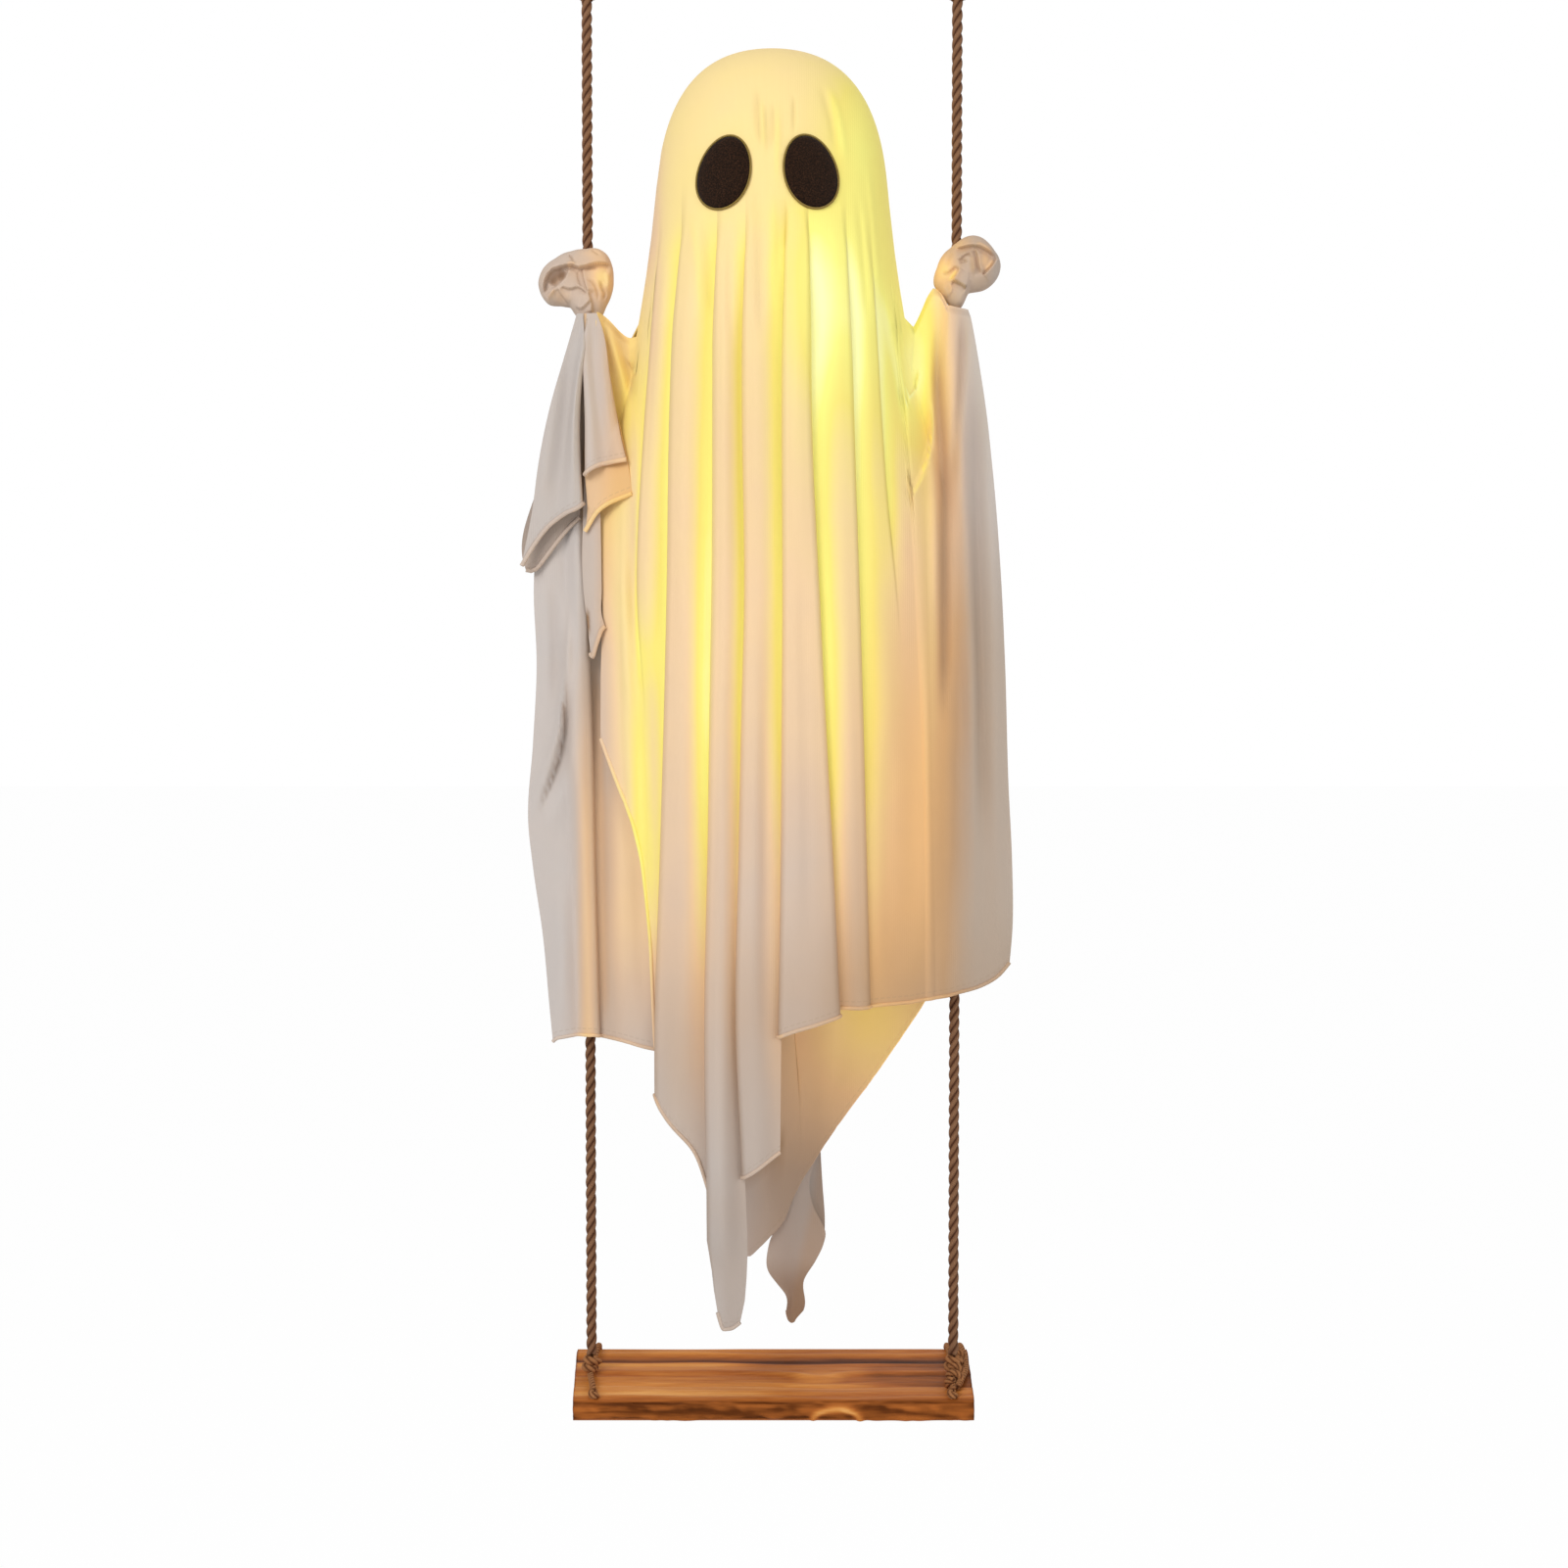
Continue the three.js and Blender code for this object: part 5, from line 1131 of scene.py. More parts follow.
cornerCreases = [
    bell(2.2, 3.4, (-144, -312), (-147.5, -360), (-148, -410), (-147, -446)),
    bell(-2.0, 5, (-149, -318), (-155, -370), (-160, -430), (-164, -462)),
    bell(1.8, 5, (-158, -345), (-166, -400), (-174, -460)),
    bell(1.6, 5, (-131, -320), (-127, -360), (-121, -405)),
    # the slit in the narrow tail: a shallow groove painted dark, painted shade where the cloth parts
    bell(-2, 1.7, (-138.5, -527), (-138.8, -537), (-138, -548), shade=1.2, ends=0.3),
]
# gathered under the hand, round the front of the rope
cornerTop = hangingTop(-147, -132, -305.0, 8.0, 2.0)
parts = []
for panel in cornerPanels:
    def cornerDepth(x, z, topX, topZ, start, lift=panel["lift"]):
        return 9 + 0.28 * lift + (0.45 * edgeDepth(x, z, topZ) + 0.72 * lift) * easeDown(z, -303, 120)
    points, faces, extra = pleatedStrip(panel["lines"], panel["hem"], -1, 70, cornerDepth, cornerTop, 1.3,
                                        creases=cornerCreases)
    # painted lamp light: each panel's 'dim', rising by its 'right' towards the right; 'warm' sets how orange;
    # 'fold' and the turned rolls give painted shade
    across = easeUp(extra["x"], -136, 24)
    attributes = {"lamp": panel["dim"] + panel["right"] * across + extra["light"], "hem": extra["hem"],
                  "amber": (0.25 + 0.6 * across) * panel.get("warm", 1), "fold": shadeOf(0.6, extra, panel["fold"])}
    parts += withHem(points, faces, attributes, points.shape[1], 0.8)
points, faces, attributes = joinParts(parts)
corner = putMesh("sheet_turned_corner", points, faces, sheetCloth, attributes)
finishSheet(corner, "turned_corner_left")


# Hands: the sheet's corners tied round the ropes. Each is a closed lump with the knot's layers as creases.
def clothLump(form):
    # A puffed disc inside its outline: at each turn, the distance from the middle grows as sin(pi g) from
    # the front pole to the rim and shrinks to the back pole, and the depth is a superellipse of it.
    spots = np.array(form["outline"], float) - form["middle"]
    angles, radii = np.arctan2(spots[:, 1], spots[:, 0]), np.hypot(spots[:, 0], spots[:, 1])
    turn = circle(200, -np.pi)
    reach = np.interp(turn, angles, radii, period=2 * np.pi)
    for _ in range(6):
        reach = (np.roll(reach, 1) + 2 * reach + np.roll(reach, -1)) / 4
    g = np.linspace(0, 1, 131)[:, None]
    share = np.sin(np.pi * g)
    front = g < 0.5
    x = form["middle"][0] + share * reach * np.cos(turn)
    z = form["middle"][1] + share * reach * np.sin(turn)
    raised, light, shade = creaseField(x, z, form["creases"])
    puff = np.maximum(1 - share ** 2.6, 0) ** (1 / 2.2)
    y = np.where(front, -form["front"] * puff - 1.5 * raised * easeDown(share, 1, 0.1), form["back"] * puff)
    # painted lamp light and painted shade on the front; the back keeps only the ground lamp light
    lamp = np.where(front, addPatches(form["lamp"] + light, x, z, form["glow"]), form["lamp"])
    shade = np.where(front, addPatches(0.55 * shade, x, z, form["dark"]), 0)
    points = np.stack([x + form["centre"][0], y, z + form["centre"][1]], -1)
    attributes = {"lamp": np.clip(lamp, 0, 1), "amber": np.full(x.shape, form["amber"]),
                  "fold": np.clip(shade, 0, 0.9), "hem": np.full(x.shape, float(sheetForm["hemReach"]))}
    # the two poles become single points
    rows, columns = x.shape
    count = (rows - 2) * columns
    faces = gridFaces(rows - 2, columns, closedAcross=True) + fan(count, 0, columns)
    faces += [f[::-1] for f in fan(count + 1, count - columns, columns)]
    values = {key: np.append(grid[1:-1], [grid[0, 0], grid[-1, 0]]) for key, grid in attributes.items()}
    return np.concatenate([points[1:-1].reshape(-1, 3), [points[0, 0], points[-1, 0]]]), faces, values


# Each hand's 'lamp' and 'glow' patches are painted lamp light and its 'dark' patches painted shade, as (x, z, wide,
# tall, gain); its creases add painted light and shade along their edges.
knotForms = {
    "left": {
        "centre": (-147.2, -276), "middle": (-1, -2), "front": 15, "back": 13, "lamp": 0.15, "amber": 0.27,
        "glow": [(19, -2, 9, 15, 0.42), (12, 18, 10, 6, 0.16), (2, 4, 9, 9, 0.08), (-12, -16, 7, 5, 0.1)],
        "dark": [(-18, -3, 5, 5, 0.34), (-10, 1, 4, 3.5, 0.24), (1, -6, 4, 6, 0.1), (13, -27, 4, 6, 0.16)],
        "outline": [(5.7, 21.6), (15.3, 22.2), (22, 18), (25.8, 9.6), (26.8, 0), (25.4, -11.5), (21.1, -21),
                    (17, -30), (12.5, -35), (4.5, -35.5), (-1, -29), (-5.7, -21.6), (-13.4, -20.5), (-22.4, -20),
                    (-27.8, -13.4), (-30.4, -3.8), (-26.8, 6.7), (-17.2, 14.4), (-4.8, 20)],
        "creases": [
            # lower edge of the top band, round the ear and up to the right
            step(3.0, 4.5, (-24.4, -13), (-25, -9.5), (-23, -2), (-18.2, 3.8), (-11.5, 5.6), (-4.8, 6.7),
                 (2.4, 4.6), (11.5, 7.2), (19, 9), (26, 8.2), shade=0.5, glowWidth=1.0, ends=0.06),
            # the ear's hollow
            bell(-5, 4.2, (-20, -8), (-16, -2), (-8, 3), shade=0.16, light=0.08),
            bell(-1, 2.2, (-9, 4), (-11, 0), (-14, -4), shade=0.3),
            # the strap across the ear's front, and the pale strap below it
            step(2.2, 3.4, (-5.3, 5.5), (-9, -3), (-15.3, -9), (-23, -16.5), shade=0.35, glowWidth=0.8, ends=0.1),
            bell(1.8, 1.2, (-15.5, -11), (-19.5, -15), (-23, -19), light=0.1),
            step(1.4, 2.4, (-14, -10.5), (-10.5, -16), (-6, -21), shade=0.5, glowWidth=0.8, ends=0.12),
            # the middle facets and the small strip between them
            step(1.6, 2.6, (-12, -9.3), (-5, -11), (1.8, -10), (8.6, -14.4), shade=0.55, glowWidth=0.8, ends=0.1),
            step(1.6, 2.6, (4.3, 4.6), (5.8, -4), (8.8, -13.4), shade=0.7, glowWidth=0.9, ends=0.08),
            bell(-0.8, 1.0, (1, 3.8), (2, -4), (5, -11), shade=0.3),
            bell(1.0, 1.4, (-7, 4), (-4, 8), (0, 6.5), light=0.12),
            # the fold down from the middle, and the neck
            step(-1.8, 3.0, (9, -13), (11.5, -20), (11.8, -28), shade=0.4, glowWidth=0.9, ends=0.1),
            step(1.4, 2.4, (-1.5, -23.5), (3, -25.5), (8, -22), (11, -19), shade=0.35, glowWidth=0.8, ends=0.12),
            # wrinkles in the lit lobe
            bell(-1.6, 1.2, (17.5, -3), (19, -9), (20.8, -14), (19, -19), shade=0.5),
            bell(-1.1, 1.1, (7.5, -3), (13.5, -7.5), (15.3, -12), (16, -20), shade=0.35),
            bell(-0.7, 1.2, (6, 3), (11.5, 5.5), (16, 5), shade=0.2),
            bell(1.4, 2.2, (22, 4), (24, -4), (23, -12), light=0.06),
            # the band's own creases
            bell(-1.0, 0.9, (-6, 16.5), (-3.5, 12), (-1, 8), shade=0.55),
            bell(-0.8, 1.2, (10, 20), (14, 17.5), (18, 14.5), shade=0.25),
        ],
    },
    "right": {
        "centre": (147.5, -266.5), "middle": (1, 0), "front": 15, "back": 13, "lamp": 0.14, "amber": 0.55,
        "glow": [(-18, -6, 9, 14, 0.46), (-6, 14, 8, 6, 0.2), (13, 1, 5, 7, 0.26), (22, -8, 6, 20, -0.1)],
        "dark": [(3.5, -3, 2.6, 8, 0.26), (0, 8, 10, 2.6, 0.18), (-4, 0, 3, 4, 0.14), (12, -14, 8, 4, 0.14),
                 (-7, -31, 4, 2, 0.2)],
        "outline": [(-2.6, 20.5), (0.5, 21.8), (5.6, 22.4), (10.8, 21.1), (16.8, 16.4), (21.1, 10.8), (24.6, 5.6),
                    (25.9, -0.4), (24.6, -6.9), (20.3, -13.4), (13.8, -18.1), (6.9, -19.6), (0.8, -20.3),
                    (-0.8, -25), (-2.6, -31), (-6.5, -34), (-10.5, -33.5), (-14.7, -27.5), (-20.3, -19.5),
                    (-24.6, -15.5), (-25, -10.3), (-22.4, -1.7), (-19.4, 6), (-12.9, 12.5), (-7.8, 16.8)],
        "creases": [
            # the outer rim's inner edge, over the top, then down the right of the petal
            step(2.4, 4.5, (-10, 10), (-2.6, 11.2), (4.3, 11.9), (8.6, 11), (14, 8.6), (22, 4.5), shade=0.4,
                 glowWidth=1.0, ends=0.15),
            step(2.6, 4.0, (22, 4.5), (19.2, -1.5), (15.2, -6.4), (11.2, -10.4), shade=0.6, glowWidth=1.0,
                 ends=0.1),
            bell(1.0, 1.4, (20.5, 4), (17.5, -1), (12.5, -7), light=0.2),
            bell(1.0, 1.5, (5, 14.5), (12.5, 11.5), (19, 7), light=0.16),
            # the petal's left edge and the valley beside it
            step(2.0, 3.4, (5, 10.5), (7, 4), (8.2, -4), (11, -10), shade=0.4, glowWidth=1.2, ends=0.15),
            bell(1.6, 2.2, (2.6, 6), (4.4, -2), (3.6, -10), light=0.08),
            # the curl in the middle
            bell(-1.3, 0.9, (-8.6, 3.4), (-6, 1.4), (-2.6, 4.4), (1, 5.6), (3.4, 3.4), shade=0.45),
            bell(-1.2, 1.3, (-6.6, -2), (-3.4, 0.6), (-1, -1.6), shade=0.3),
            # strap across to the wrap
            step(2.0, 3.0, (-6.6, -4.8), (-9, -9.4), (-11.8, -14), shade=0.35, glowWidth=0.8, ends=0.12),
            bell(1.0, 1.6, (-8, -4.6), (-11, -10), (-14.5, -15), light=0.3),
            step(2.4, 3.2, (-12, -13.8), (-6, -16.4), (-0.9, -19.6), shade=0.75, glowWidth=1.1, ends=0.1),
            # the wrap round the neck, with its turned edge
            step(1.8, 2.6, (-20.6, -18.6), (-17.6, -22.8), (-14.4, -25.4), shade=0.7, glowWidth=1.0, ends=0.1),
            bell(0.9, 1.0, (-16.2, -27), (-11.4, -32), (-3, -32.4), light=0.2),
            bell(0.9, 1.3, (-13.4, -15.8), (-12.6, -20), (-14, -24.4), light=0.1),
            # the lit lobe's crease
            bell(-1.3, 1.2, (-20.5, -7.6), (-15, -8.4), (-11.4, -6), (-8, -3), shade=0.4),
            bell(-0.8, 1.8, (-12, 8), (-15, 2), (-16, -3), shade=0.12),
        ],
    },
}
for sideName, form in knotForms.items():
    points, faces, attributes = clothLump(form)
    knot = putMesh("hand_" + sideName, points, faces, sheetCloth, attributes)
    dress(knot, "swing", "hand_knot_" + sideName)
print("hands knotted")


# Eyes: felt pads with a raised rim of thread, lying on the hood.
def eyeRing(share, turn):
    # an egg's outline in the eye's own plane, at a share of its size
    egg = 1 - eyeForm["egg"] * np.sin(turn)
    return share * eyeForm["width"] / 2 * np.cos(turn) * egg, share * eyeForm["height"] / 2 * np.sin(turn)


def onHood(centre, spot, lift, tilt):
    # a point of the eye's own plane laid on the front of the hood
    a, (u, w) = math.radians(tilt), spot
    x = centre[0] + u * math.cos(a) - w * math.sin(a)
    z = centre[1] + u * math.sin(a) + w * math.cos(a)
    return np.stack([x, -(clothDepth(x, z, 0 * x, crownZ + 0 * z, 0 * z) + lift), z], -1)


for (sideName, side), centre in zip(sides, eyeCentres):
    tilt = eyeForm["tilt"] * side
    count = eyeForm["around"]
    turn = circle(count)
    rings = np.linspace(0, 1, eyeForm["rings"] + 1)[1:, None]
    lift = eyeForm["lift"] + eyeForm["thickness"] * np.sqrt(np.clip(1 - rings ** 6, 0, 1)) + 0 * turn
    pad = onHood(centre, eyeRing(rings, turn), lift, tilt).reshape(-1, 3)
    middle = onHood(centre, (np.zeros(1), np.zeros(1)), eyeForm["lift"] + eyeForm["thickness"], tilt)
    faces = gridFaces(eyeForm["rings"], count, closedAcross=True) + fan(len(pad), 0, count)
    eye = putMesh("felt_eye_" + sideName, np.concatenate([pad, middle]), faces, felt)
    thick = eye.modifiers.new("pad", "SOLIDIFY")
    thick.thickness = eyeForm["felt"] * mm
    thick.offset = -1
    dress(eye, "swing", "eye_" + sideName)
    ring = onHood(centre, eyeRing(1 + 2 * eyeForm["rim"] / eyeForm["height"], turn), eyeForm["rimLift"], tilt)
    tangent = np.roll(ring, -1, 0) - np.roll(ring, 1, 0)
    tangent /= np.linalg.norm(tangent, axis=1)[:, None]
    across = np.cross(tangent, np.array([0, -1.0, 0]))
    across /= np.linalg.norm(across, axis=1)[:, None]
    around = circle(8)
    tube = ring[:, None] + eyeForm["rim"] * ringsRound(across, np.cross(across, tangent), around)
    flat = np.zeros((count, 8))
    rim = putMesh("eye_edge_" + sideName, tube.reshape(-1, 3), gridFaces(count, 8, True, True), goldThread,
                  {"u": (flat + around).ravel(), "v": (flat + np.arange(count)[:, None] / count).ravel()})
    dress(rim, "swing", "eye_rim_" + sideName)
print("eyes laid on")

# Seat: one plank. Its section is a rounded box; the top has shallow grain ridges and a burl, the
# front edge is left rough, with one knot ring. Half lengths are given along its back and front edges,
# and tone bands along the grain, partly staining and partly painted highlight and shade, as (y, half
# width, gain, where along x they fade, over what length).
seatForm = {
    "edge": 3.0, "ridge": 0.9, "rough": 2.2, "columns": 300, "around": 150, "endRise": 0.6,
    "backLeft": 157, "frontLeft": 148, "backRight": 156, "frontRight": 150.5,
    "burl": (36, -6, 17, 13), "ringX": 49, "ringRadius": 13.5, "ringWide": 2.4,
    "bands": [(31, 5, -0.34, 200, 10), (21, 5.5, 0.4, -5, 40), (4, 4.5, -0.26, 20, 40), (-25, 8, 0.34, 130, 80),
              (-44, 4, 0.3, 20, 40), (-55, 4.5, -0.16, 200, 10)],
    "roughWaves": [(23, 1.0), (11, 0.7), (5.5, 0.45), (2.6, 0.25)],
    "roughShare": 0.5, "ringCalm": 0.3, "calmReach": 16, "ringRise": 1.6, "frontSink": 1.2, "ridgeMean": 0.9,
}
# How pale the stained wood is: its ground, then what each thing adds or takes away; 'rough' is painted shade on the
# carved front.
seatTone = {
    "ground": 0.47, "grain": 0.2, "grainSpan": 1.8, "lean": 0.07, "halfLength": 155, "burl": 0.35,
    "burlGround": 0.4, "burlRings": 0.6, "dark": 0.24, "darkOut": (60, 25), "darkAt": (5, 20), "rough": 0.16,
    "ring": 0.55, "front": 0.3, "end": 0.12, "endReach": 2, "cap": 0.2, "capMiddle": 0.15,
}


def seatSurface():
    # rounded box section carried along x, moved out or in by ridges, rough waves and the knot ring
    form, low, high = seatForm, seatLow, seatHigh
    halfDepth, thickness = (high[1] - low[1]) / 2, high[2] - low[2]
    s = np.linspace(0, 1, form["around"], endpoint=False)
    corners = np.cumsum([0, 2 * halfDepth, thickness, 2 * halfDepth, thickness])
    run = s * (2 * (2 * halfDepth + thickness))
    y = np.interp(run, corners, [-halfDepth, halfDepth, halfDepth, -halfDepth, -halfDepth])
    z = np.interp(run, corners, [high[2], high[2], low[2], low[2], high[2]])
    edge = form["edge"]
    innerY = np.clip(y, -halfDepth + edge, halfDepth - edge)
    innerZ = np.clip(z, low[2] + edge, high[2] - edge)
    dy, dz = y - innerY, z - innerZ
    length = np.maximum(np.hypot(dy, dz), 1e-6)
    outY, outZ = dy / length, dz / length
    x = np.linspace(low[0], high[0], form["columns"])[:, None]
    y = innerY + outY * np.minimum(length, edge) + 0 * x
    z = innerZ + outZ * np.minimum(length, edge) + 0 * x
    toFront = (1 - y / halfDepth) / 2
    ends = np.where(x < 0, mix(form["backLeft"], form["frontLeft"], toFront) / abs(low[0]),
                    mix(form["backRight"], form["frontRight"], toFront) / high[0])
    rng = np.random.default_rng(11)
    top, frontFace = np.clip(outZ, 0, 1), np.clip(-outY, 0, 1) ** 0.5
    burlX, burlY = form["burl"][:2]
    burl = patch(x, y, *form["burl"])
    bend = 5 * burl + 1.6 * np.sin(x / 47 + 0.6) + 1.1 * np.sin(x / 19 + y / 30)
    ridges = np.sin((y + bend) / 7.6 + 0.8) + 0.5 * np.sin((y + 1.7 * bend) / 3.1)
    ridges = ridges + 0.3 * np.sin((y + bend) / 1.7)
    ringGap = np.hypot((x - form["ringX"]) / 1.35, (z - low[2] + 1) / 0.8)
    ring = np.exp(-((ringGap - form["ringRadius"]) / form["ringWide"]) ** 2)
    rough = np.zeros_like(x + y)
    for scale, size in form["roughWaves"]:
        a, b, c = rng.uniform(0, 6.3, 3)
        swirl = 1.4 * np.sin(z / 3.1 + b + x / (2.3 * scale))
        rough = rough + size * np.sin(x / scale + a + swirl) * np.cos(z / 2.4 + c)
    calm = 1 - np.exp(-(ringGap / form["calmReach"]) ** 4) * form["ringCalm"]
    carved = form["rough"] * form["roughShare"] * rough * calm + form["ringRise"] * ring - form["frontSink"]
    move = form["ridge"] * (ridges - form["ridgeMean"]) * top + carved * frontFace
    y, z = y + outY * move, z + outZ * move
    # tone: grain, burl and bands on the top, the bands partly staining and partly painted highlight and
    # shade; the top darker from left to right and in a strip towards the right end; the rough front dark but
    # for its ring, with painted shade in its carving; both ends darker
    plankTone = seatTone
    rings = np.sin(((x - burlX) ** 2 / 40 + (y - burlY) ** 2 / 20) / 4)
    burlTone = plankTone["burl"] * burl * (plankTone["burlGround"] + plankTone["burlRings"] * rings)
    grainAndLeanTone = plankTone["grain"] * ridges / plankTone["grainSpan"] - plankTone["lean"] * x / plankTone["halfLength"]
    tone = plankTone["ground"] + top * (grainAndLeanTone + burlTone)
    # bands along the grain, partly staining and partly painted highlight and shade
    for bandY, wide, gain, edgeX, over in form["bands"]:
        tone = tone + gain * np.exp(-((y + 0.6 * bend - bandY) / wide) ** 2) * easeDown(x, edgeX, over) * top
    # darker in a strip along the middle of the top towards the right end
    darkY, darkWide = plankTone["darkAt"]
    tone = tone - plankTone["dark"] * easeUp(x, *plankTone["darkOut"]) * np.exp(-((y - darkY) / darkWide) ** 2) * top
    # the rough front: paler on its carving's ridges and darker in its hollows, painted shade; the whole face darker
    # but for the knot ring
    tone = tone + frontFace * (plankTone["rough"] * rough + plankTone["ring"] * ring - plankTone["front"])
    for end in (high[0], low[0]):
        tone = tone - plankTone["end"] * np.exp(-np.abs(x - end) / plankTone["endReach"])
    return np.stack([x * ends, y, z], -1), tone


grid, tone = seatSurface()
columns, around = tone.shape
faces = gridFaces(columns, around, closedAcross=True)
points, tones = grid.reshape(-1, 3), [tone.ravel()]
for end, out in ((0, -1), (columns - 1, 1)):
    # each end is closed by a smaller ring and a middle point
    middle = grid[end].mean(0)
    rise = np.array([out * seatForm["endRise"], 0, 0])
    inner = middle + (grid[end] - middle) * np.array([1, 0.93, 0.82]) + rise
    base, first = end * around, len(points)
    points = np.concatenate([points, inner, [middle + rise]])
    tones.append([seatTone["cap"]] * around + [seatTone["capMiddle"]])
    rim = [(base + i, first + i, first + (i + 1) % around, base + (i + 1) % around) for i in range(around)]
    faces += [f[::-out] for f in rim] + [f[::out] for f in fan(first + around, first, around)]
seat = putMesh("seat_plank", points, faces, seatWood, {"tone": np.concatenate(tones)}, flip=True)
dress(seat, "seat", "seat_board")
print("seat made", len(faces), "faces")

# Stop knots and lashings on the seat, of the same laid cord as the swing's ropes.
lashForm = {"pitch": 15.0, "strandRadius": 1.35, "strandOffset": 1.15, "strandFaces": 8, "stepsPerTurn": 14,
            "radius": 2.5, "clear": 0.3, "knotClear": 10.3, "apart": 10.3, "corner": 1.4, "endKnot": 2.4}
stopForm = {"pitch": 18.0, "strandRadius": 1.8, "strandOffset": 1.5, "strandFaces": 8, "stepsPerTurn": 16,
            "turns": 2.5}


def lashingPaths(x, side, turns):
    # One strand on top, from a small end knot over a hole behind the front edge to the stop knot; one from
    # that hole under the plank and up its back. On the right a second turn, and a coil round the first.
    apart, corner, clear = lashForm["apart"], lashForm["corner"], lashForm["knotClear"]
    off = lashForm["radius"] + lashForm["clear"]
    low, high, halfDepth = seatLow[2] + 0.6, seatHigh[2] + off, (seatHigh[1] - seatLow[1]) / 2 + off
    holeX, holeY = x - side * (7.0 if side < 0 else 5.0), -halfDepth + 10.0
    v = np.linspace(0, 1, 12)[:-1]
    endKnot = lashForm["endKnot"] * np.stack([np.sin(np.pi * v) * np.cos(9 * v), np.sin(np.pi * v) * np.sin(9 * v),
                                              np.cos(np.pi * v)], 1)
    top = [(holeX + dx, holeY + dy, high + dz) for dx, dy, dz in endKnot]
    paths = [top + [(mix(holeX, x, 0.3), mix(holeY, -clear, 0.3), high), (x, -clear, high)]]
    for turn in range(turns):
        a = x + side * turn * apart
        paths.append([(holeX, holeY, high - 5), (holeX, holeY, low + 5), (mix(holeX, a, 0.2), holeY + 4, low),
                      (a, -halfDepth / 3, low), (a, halfDepth - 5, low), (a, halfDepth - corner, low + corner),
                      (a, halfDepth, low + 5), (a, halfDepth, high - 5), (a, halfDepth - corner, high - corner),
                      (a, halfDepth - 5, high)])
        paths[-1] += [(a, clear, high)] if turn == 0 else [(a, 6, high), (mix(holeX, a, 0.3), holeY + 12, high + 1)]
    if turns > 1:
        around = np.linspace(0, 8 * np.pi, 64)
        share = around / around[-1]
        paths.append(np.stack([mix(x + 6, holeX + 2, share) + 5 * np.sin(around), mix(26, holeY + 14, share),
                               high + 1.4 + 4 * np.cos(around)], 1))
    return paths


for (sideName, side), turns in zip(sides, (1, 2)):
    x = side * ropeX
    knotLow, knotHigh = boxOf("seat_knot_" + sideName)
    knotCentre = (knotLow + knotHigh) / 2
    knotRadius = (knotHigh[0] - knotLow[0]) / 2
    t = np.linspace(0, 1, 90)
    turn = 2 * np.pi * stopForm["turns"] * t
    swell = np.sin(np.pi * np.clip(t, 0.06, 0.94))
    path = np.stack([x + (knotRadius - 3.2) * swell * np.cos(turn) + 1.2 * np.sin(3 * turn),
                     knotCentre[1] + (knotRadius - 3.2) * swell * np.sin(turn),
                     knotCentre[2] + (knotRadius - 2.6) * np.cos(np.pi * t)], 1)
    points, faces, attributes = strandRope(path, stopForm)
    knot = putMesh("seat_stop_" + sideName, points, faces, knotFibre, attributes, flip=True)
    dress(knot, "seat", "seat_knot_" + sideName)
    cords = [strandRope(pathThrough(spots, 160), lashForm) for spots in lashingPaths(x, side, turns)]
    points, faces, attributes = joinParts(cords)
    lashing = putMesh("seat_binding_" + sideName, points, faces, knotFibre, attributes, flip=True)
    dress(lashing, "seat", "seat_lashing_" + sideName)
print("seat bound")

# Rope eyes over the hooks and the whipping below them.
whipForm = {"radius": 1.08, "turns": 15, "faces": 7, "taper": 14, "wide": [5.0, 7.8, 7.9], "coreIn": 0.4,
            "tone": 0.35}
for sideName, side in sides:
    x = side * ropeX
    eyeRadius = boxOf("rope_eye_" + sideName)[1][2] - ropeRadius
    spliceLow, spliceHigh = [corner[2] for corner in boxOf("rope_splice_" + sideName)]
    legY = ropeRadius + 0.3
    legs = [(x, -legY, spliceHigh + 0.6), (x, -legY, spliceHigh * 0.65)]
    arc = [(x, eyeRadius * math.cos(a), eyeRadius * math.sin(a)) for a in np.linspace(np.pi, 0, 14)]
    spots = legs + arc + [(x, -y, z) for x, y, z in legs[::-1]]
    points, faces, attributes = strandRope(pathThrough(spots, 120), ropeForm)
    ropeEye = putMesh("rope_loop_" + sideName, points, faces, ropeFibre, attributes, flip=True)
    dress(ropeEye, "swing", "rope_eye_" + sideName)
    # a cord wound round a core that is thinner at its foot
    steps = 40 * whipForm["turns"]
    t = np.linspace(0, 1, steps)
    tapers = [spliceLow, spliceLow + whipForm["taper"], spliceHigh]
    z = mix(spliceHigh - 1.2, spliceLow + 1.2, t)
    wide = smoothLine(tapers, whipForm["wide"], z)
    turn = 2 * np.pi * whipForm["turns"] * t
    path = np.stack([x + wide * np.cos(turn), wide * np.sin(turn), z], 1)
    cord = sweep(path, whipForm["radius"], whipForm["faces"])
    coreZ = np.linspace(spliceHigh - 0.3, spliceLow + 0.3, 20)
    core, coreFaces = turned(smoothLine(tapers, whipForm["wide"], coreZ) - whipForm["coreIn"], coreZ, 24, x)
    points, faces, _ = joinParts([(cord, tubeFaces(steps, whipForm["faces"]), {}),
                                  (core, [f[::-1] for f in coreFaces], {})])
    number = np.arange(len(points))
    attributes = {"bulge": np.full(len(points), whipForm["tone"]), "u": number * 0.002,
                  "v": number % whipForm["faces"] / whipForm["faces"]}
    splice = putMesh("rope_whipping_" + sideName, points, faces, ropeFibre, attributes, flip=True)
    dress(splice, "swing", "rope_splice_" + sideName)
print("rope eyes bound")

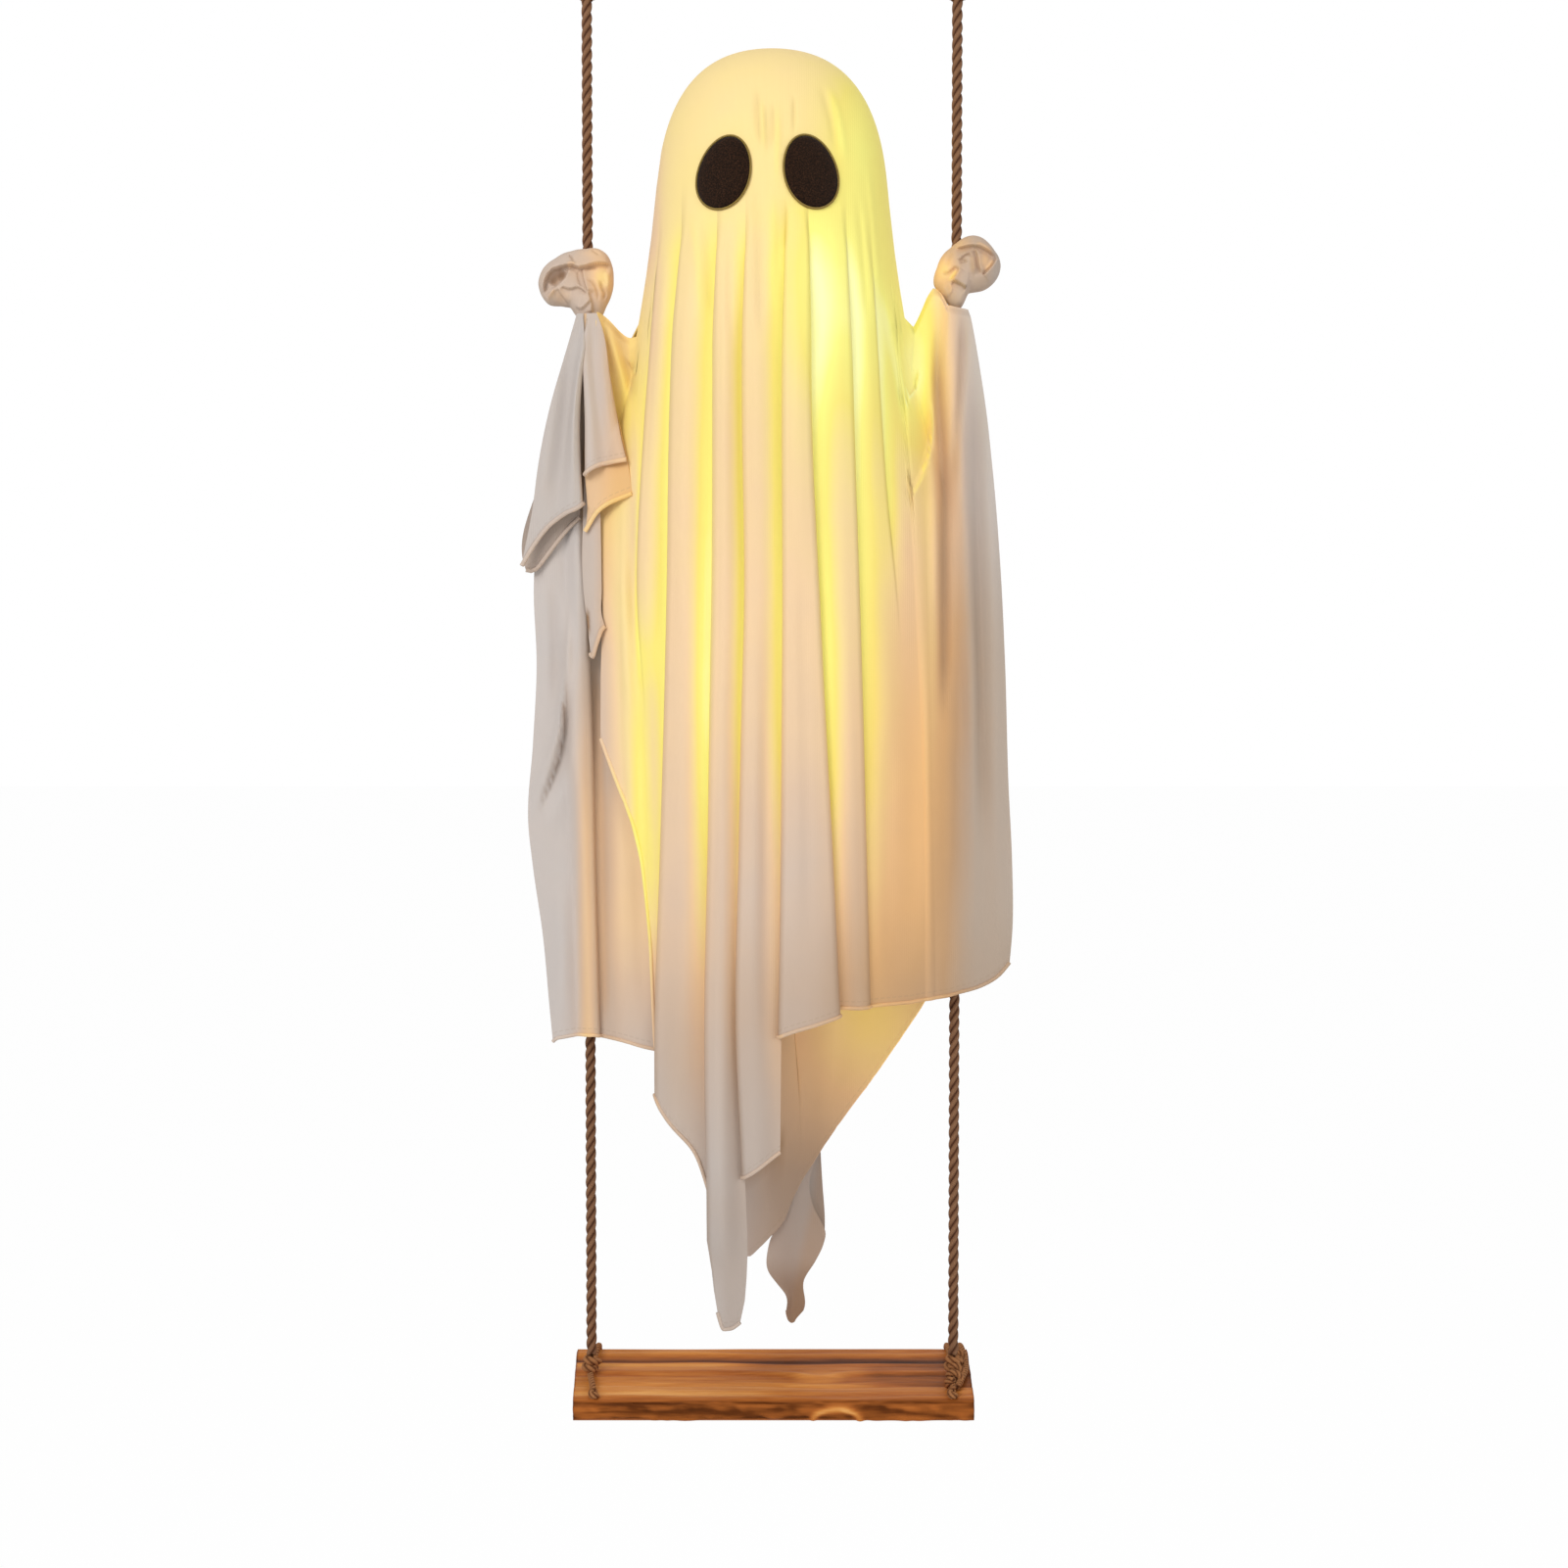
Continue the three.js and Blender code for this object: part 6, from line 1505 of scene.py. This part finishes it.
# CAD pieces that stay, by finish.
finishes = [
    (zincSteel, ["screw_hook_left", "screw_hook_right", "hook_flange_left", "hook_flange_right", "arm_wire_left",
                 "arm_wire_right", "contact_strip_lower", "contact_strip_upper"]),
    (beech, ["spine_dowel"]), (lampGlow, ["lamp_string"]), (whiteAbs, ["switch_slider"]),
    (blackAbs, ["shoulder_block", "battery_case", "battery_cover"]), (cellSleeve, ["cell_1", "cell_2", "cell_3"]),
]
for material, nodes in finishes:
    for node in nodes:
        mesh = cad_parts[node].data
        mesh.materials.clear()
        mesh.materials.append(material)


# Stage: a pale floor well below the swing, a white world and soft lamps.
def seenRays(tree):
    # 1 where the camera looks, straight or off or through the object, 0 for the rays that light it
    rays = addNode(tree, "LightPath").node.outputs
    seen = addNode(tree, "Math", {0: rays["Is Camera Ray"], 1: rays["Is Glossy Ray"]}, operation="MAXIMUM")
    return addNode(tree, "Math", {0: seen, 1: rays["Is Transmission Ray"]}, operation="MAXIMUM")


stageForm = {"half": 30.0, "floorZ": -1.75, "paper": "#f4f4f4", "whiteShare": 0.98, "ambient": 0.5}
floorMesh = bpy.data.meshes.new("floor")
floorMesh.from_pydata([(a * stageForm["half"], b * stageForm["half"], stageForm["floorZ"])
                       for a, b in ((-1, -1), (1, -1), (1, 1), (-1, 1))], [], [(0, 1, 2, 3)])
floor = bpy.data.objects.new("floor", floorMesh)
scene.collection.objects.link(floor)
paper = bpy.data.materials.new("white paper floor")
paper.use_nodes = True
tree = paper.node_tree
tree.nodes.clear()
diffuse = addNode(tree, "BsdfDiffuse", {"Color": linear(stageForm["paper"])})
white = addNode(tree, "Emission", {"Color": (1, 1, 1, 1), "Strength": 1.0})
whiteShare = addNode(tree, "Math", {0: seenRays(tree), 1: stageForm["whiteShare"]}, operation="MULTIPLY")
addNode(tree, "OutputMaterial", {"Surface": addNode(tree, "MixShader", {0: whiteShare, 1: diffuse, 2: white})})
floorMesh.materials.append(paper)

world = bpy.data.worlds.new("studio")
scene.world = world
world.use_nodes = True
tree = world.node_tree
tree.nodes.clear()
strength = addNode(tree, "Math", {0: seenRays(tree), 1: 1 - stageForm["ambient"], 2: stageForm["ambient"]},
                   operation="MULTIPLY_ADD")
addNode(tree, "OutputWorld",
        {"Surface": addNode(tree, "Background", {"Color": (1, 1, 1, 1), "Strength": strength})})

# place and aim in metres, size of each round lamp, power in watts
lamps = {
    "key": {"place": (-1.1, -1.9, 0.5), "size": 1.4, "power": 30, "aim": (0, 0, -0.6)},
    "fill": {"place": (1.7, -1.7, -0.3), "size": 1.8, "power": 13, "aim": (0, 0, -0.6)},
    "back": {"place": (0.6, 1.9, 0.6), "size": 1.6, "power": 14, "aim": (0, 0, -0.5)},
}
for name, lamp in lamps.items():
    data = bpy.data.lights.new(name, "AREA")
    data.shape = "DISK"
    data.size = lamp["size"]
    data.energy = lamp["power"]
    light = bpy.data.objects.new(name, data)
    light.location = lamp["place"]
    toAim = np.array(lamp["aim"]) - np.array(lamp["place"])
    yaw = math.atan2(toAim[0], -toAim[1])
    pitch = math.atan2(math.hypot(toAim[0], toAim[1]), -toAim[2])
    light.rotation_euler = (pitch, 0, yaw + math.pi)
    scene.collection.objects.link(light)
scene.view_settings.view_transform = "Standard"
print("stage lit")
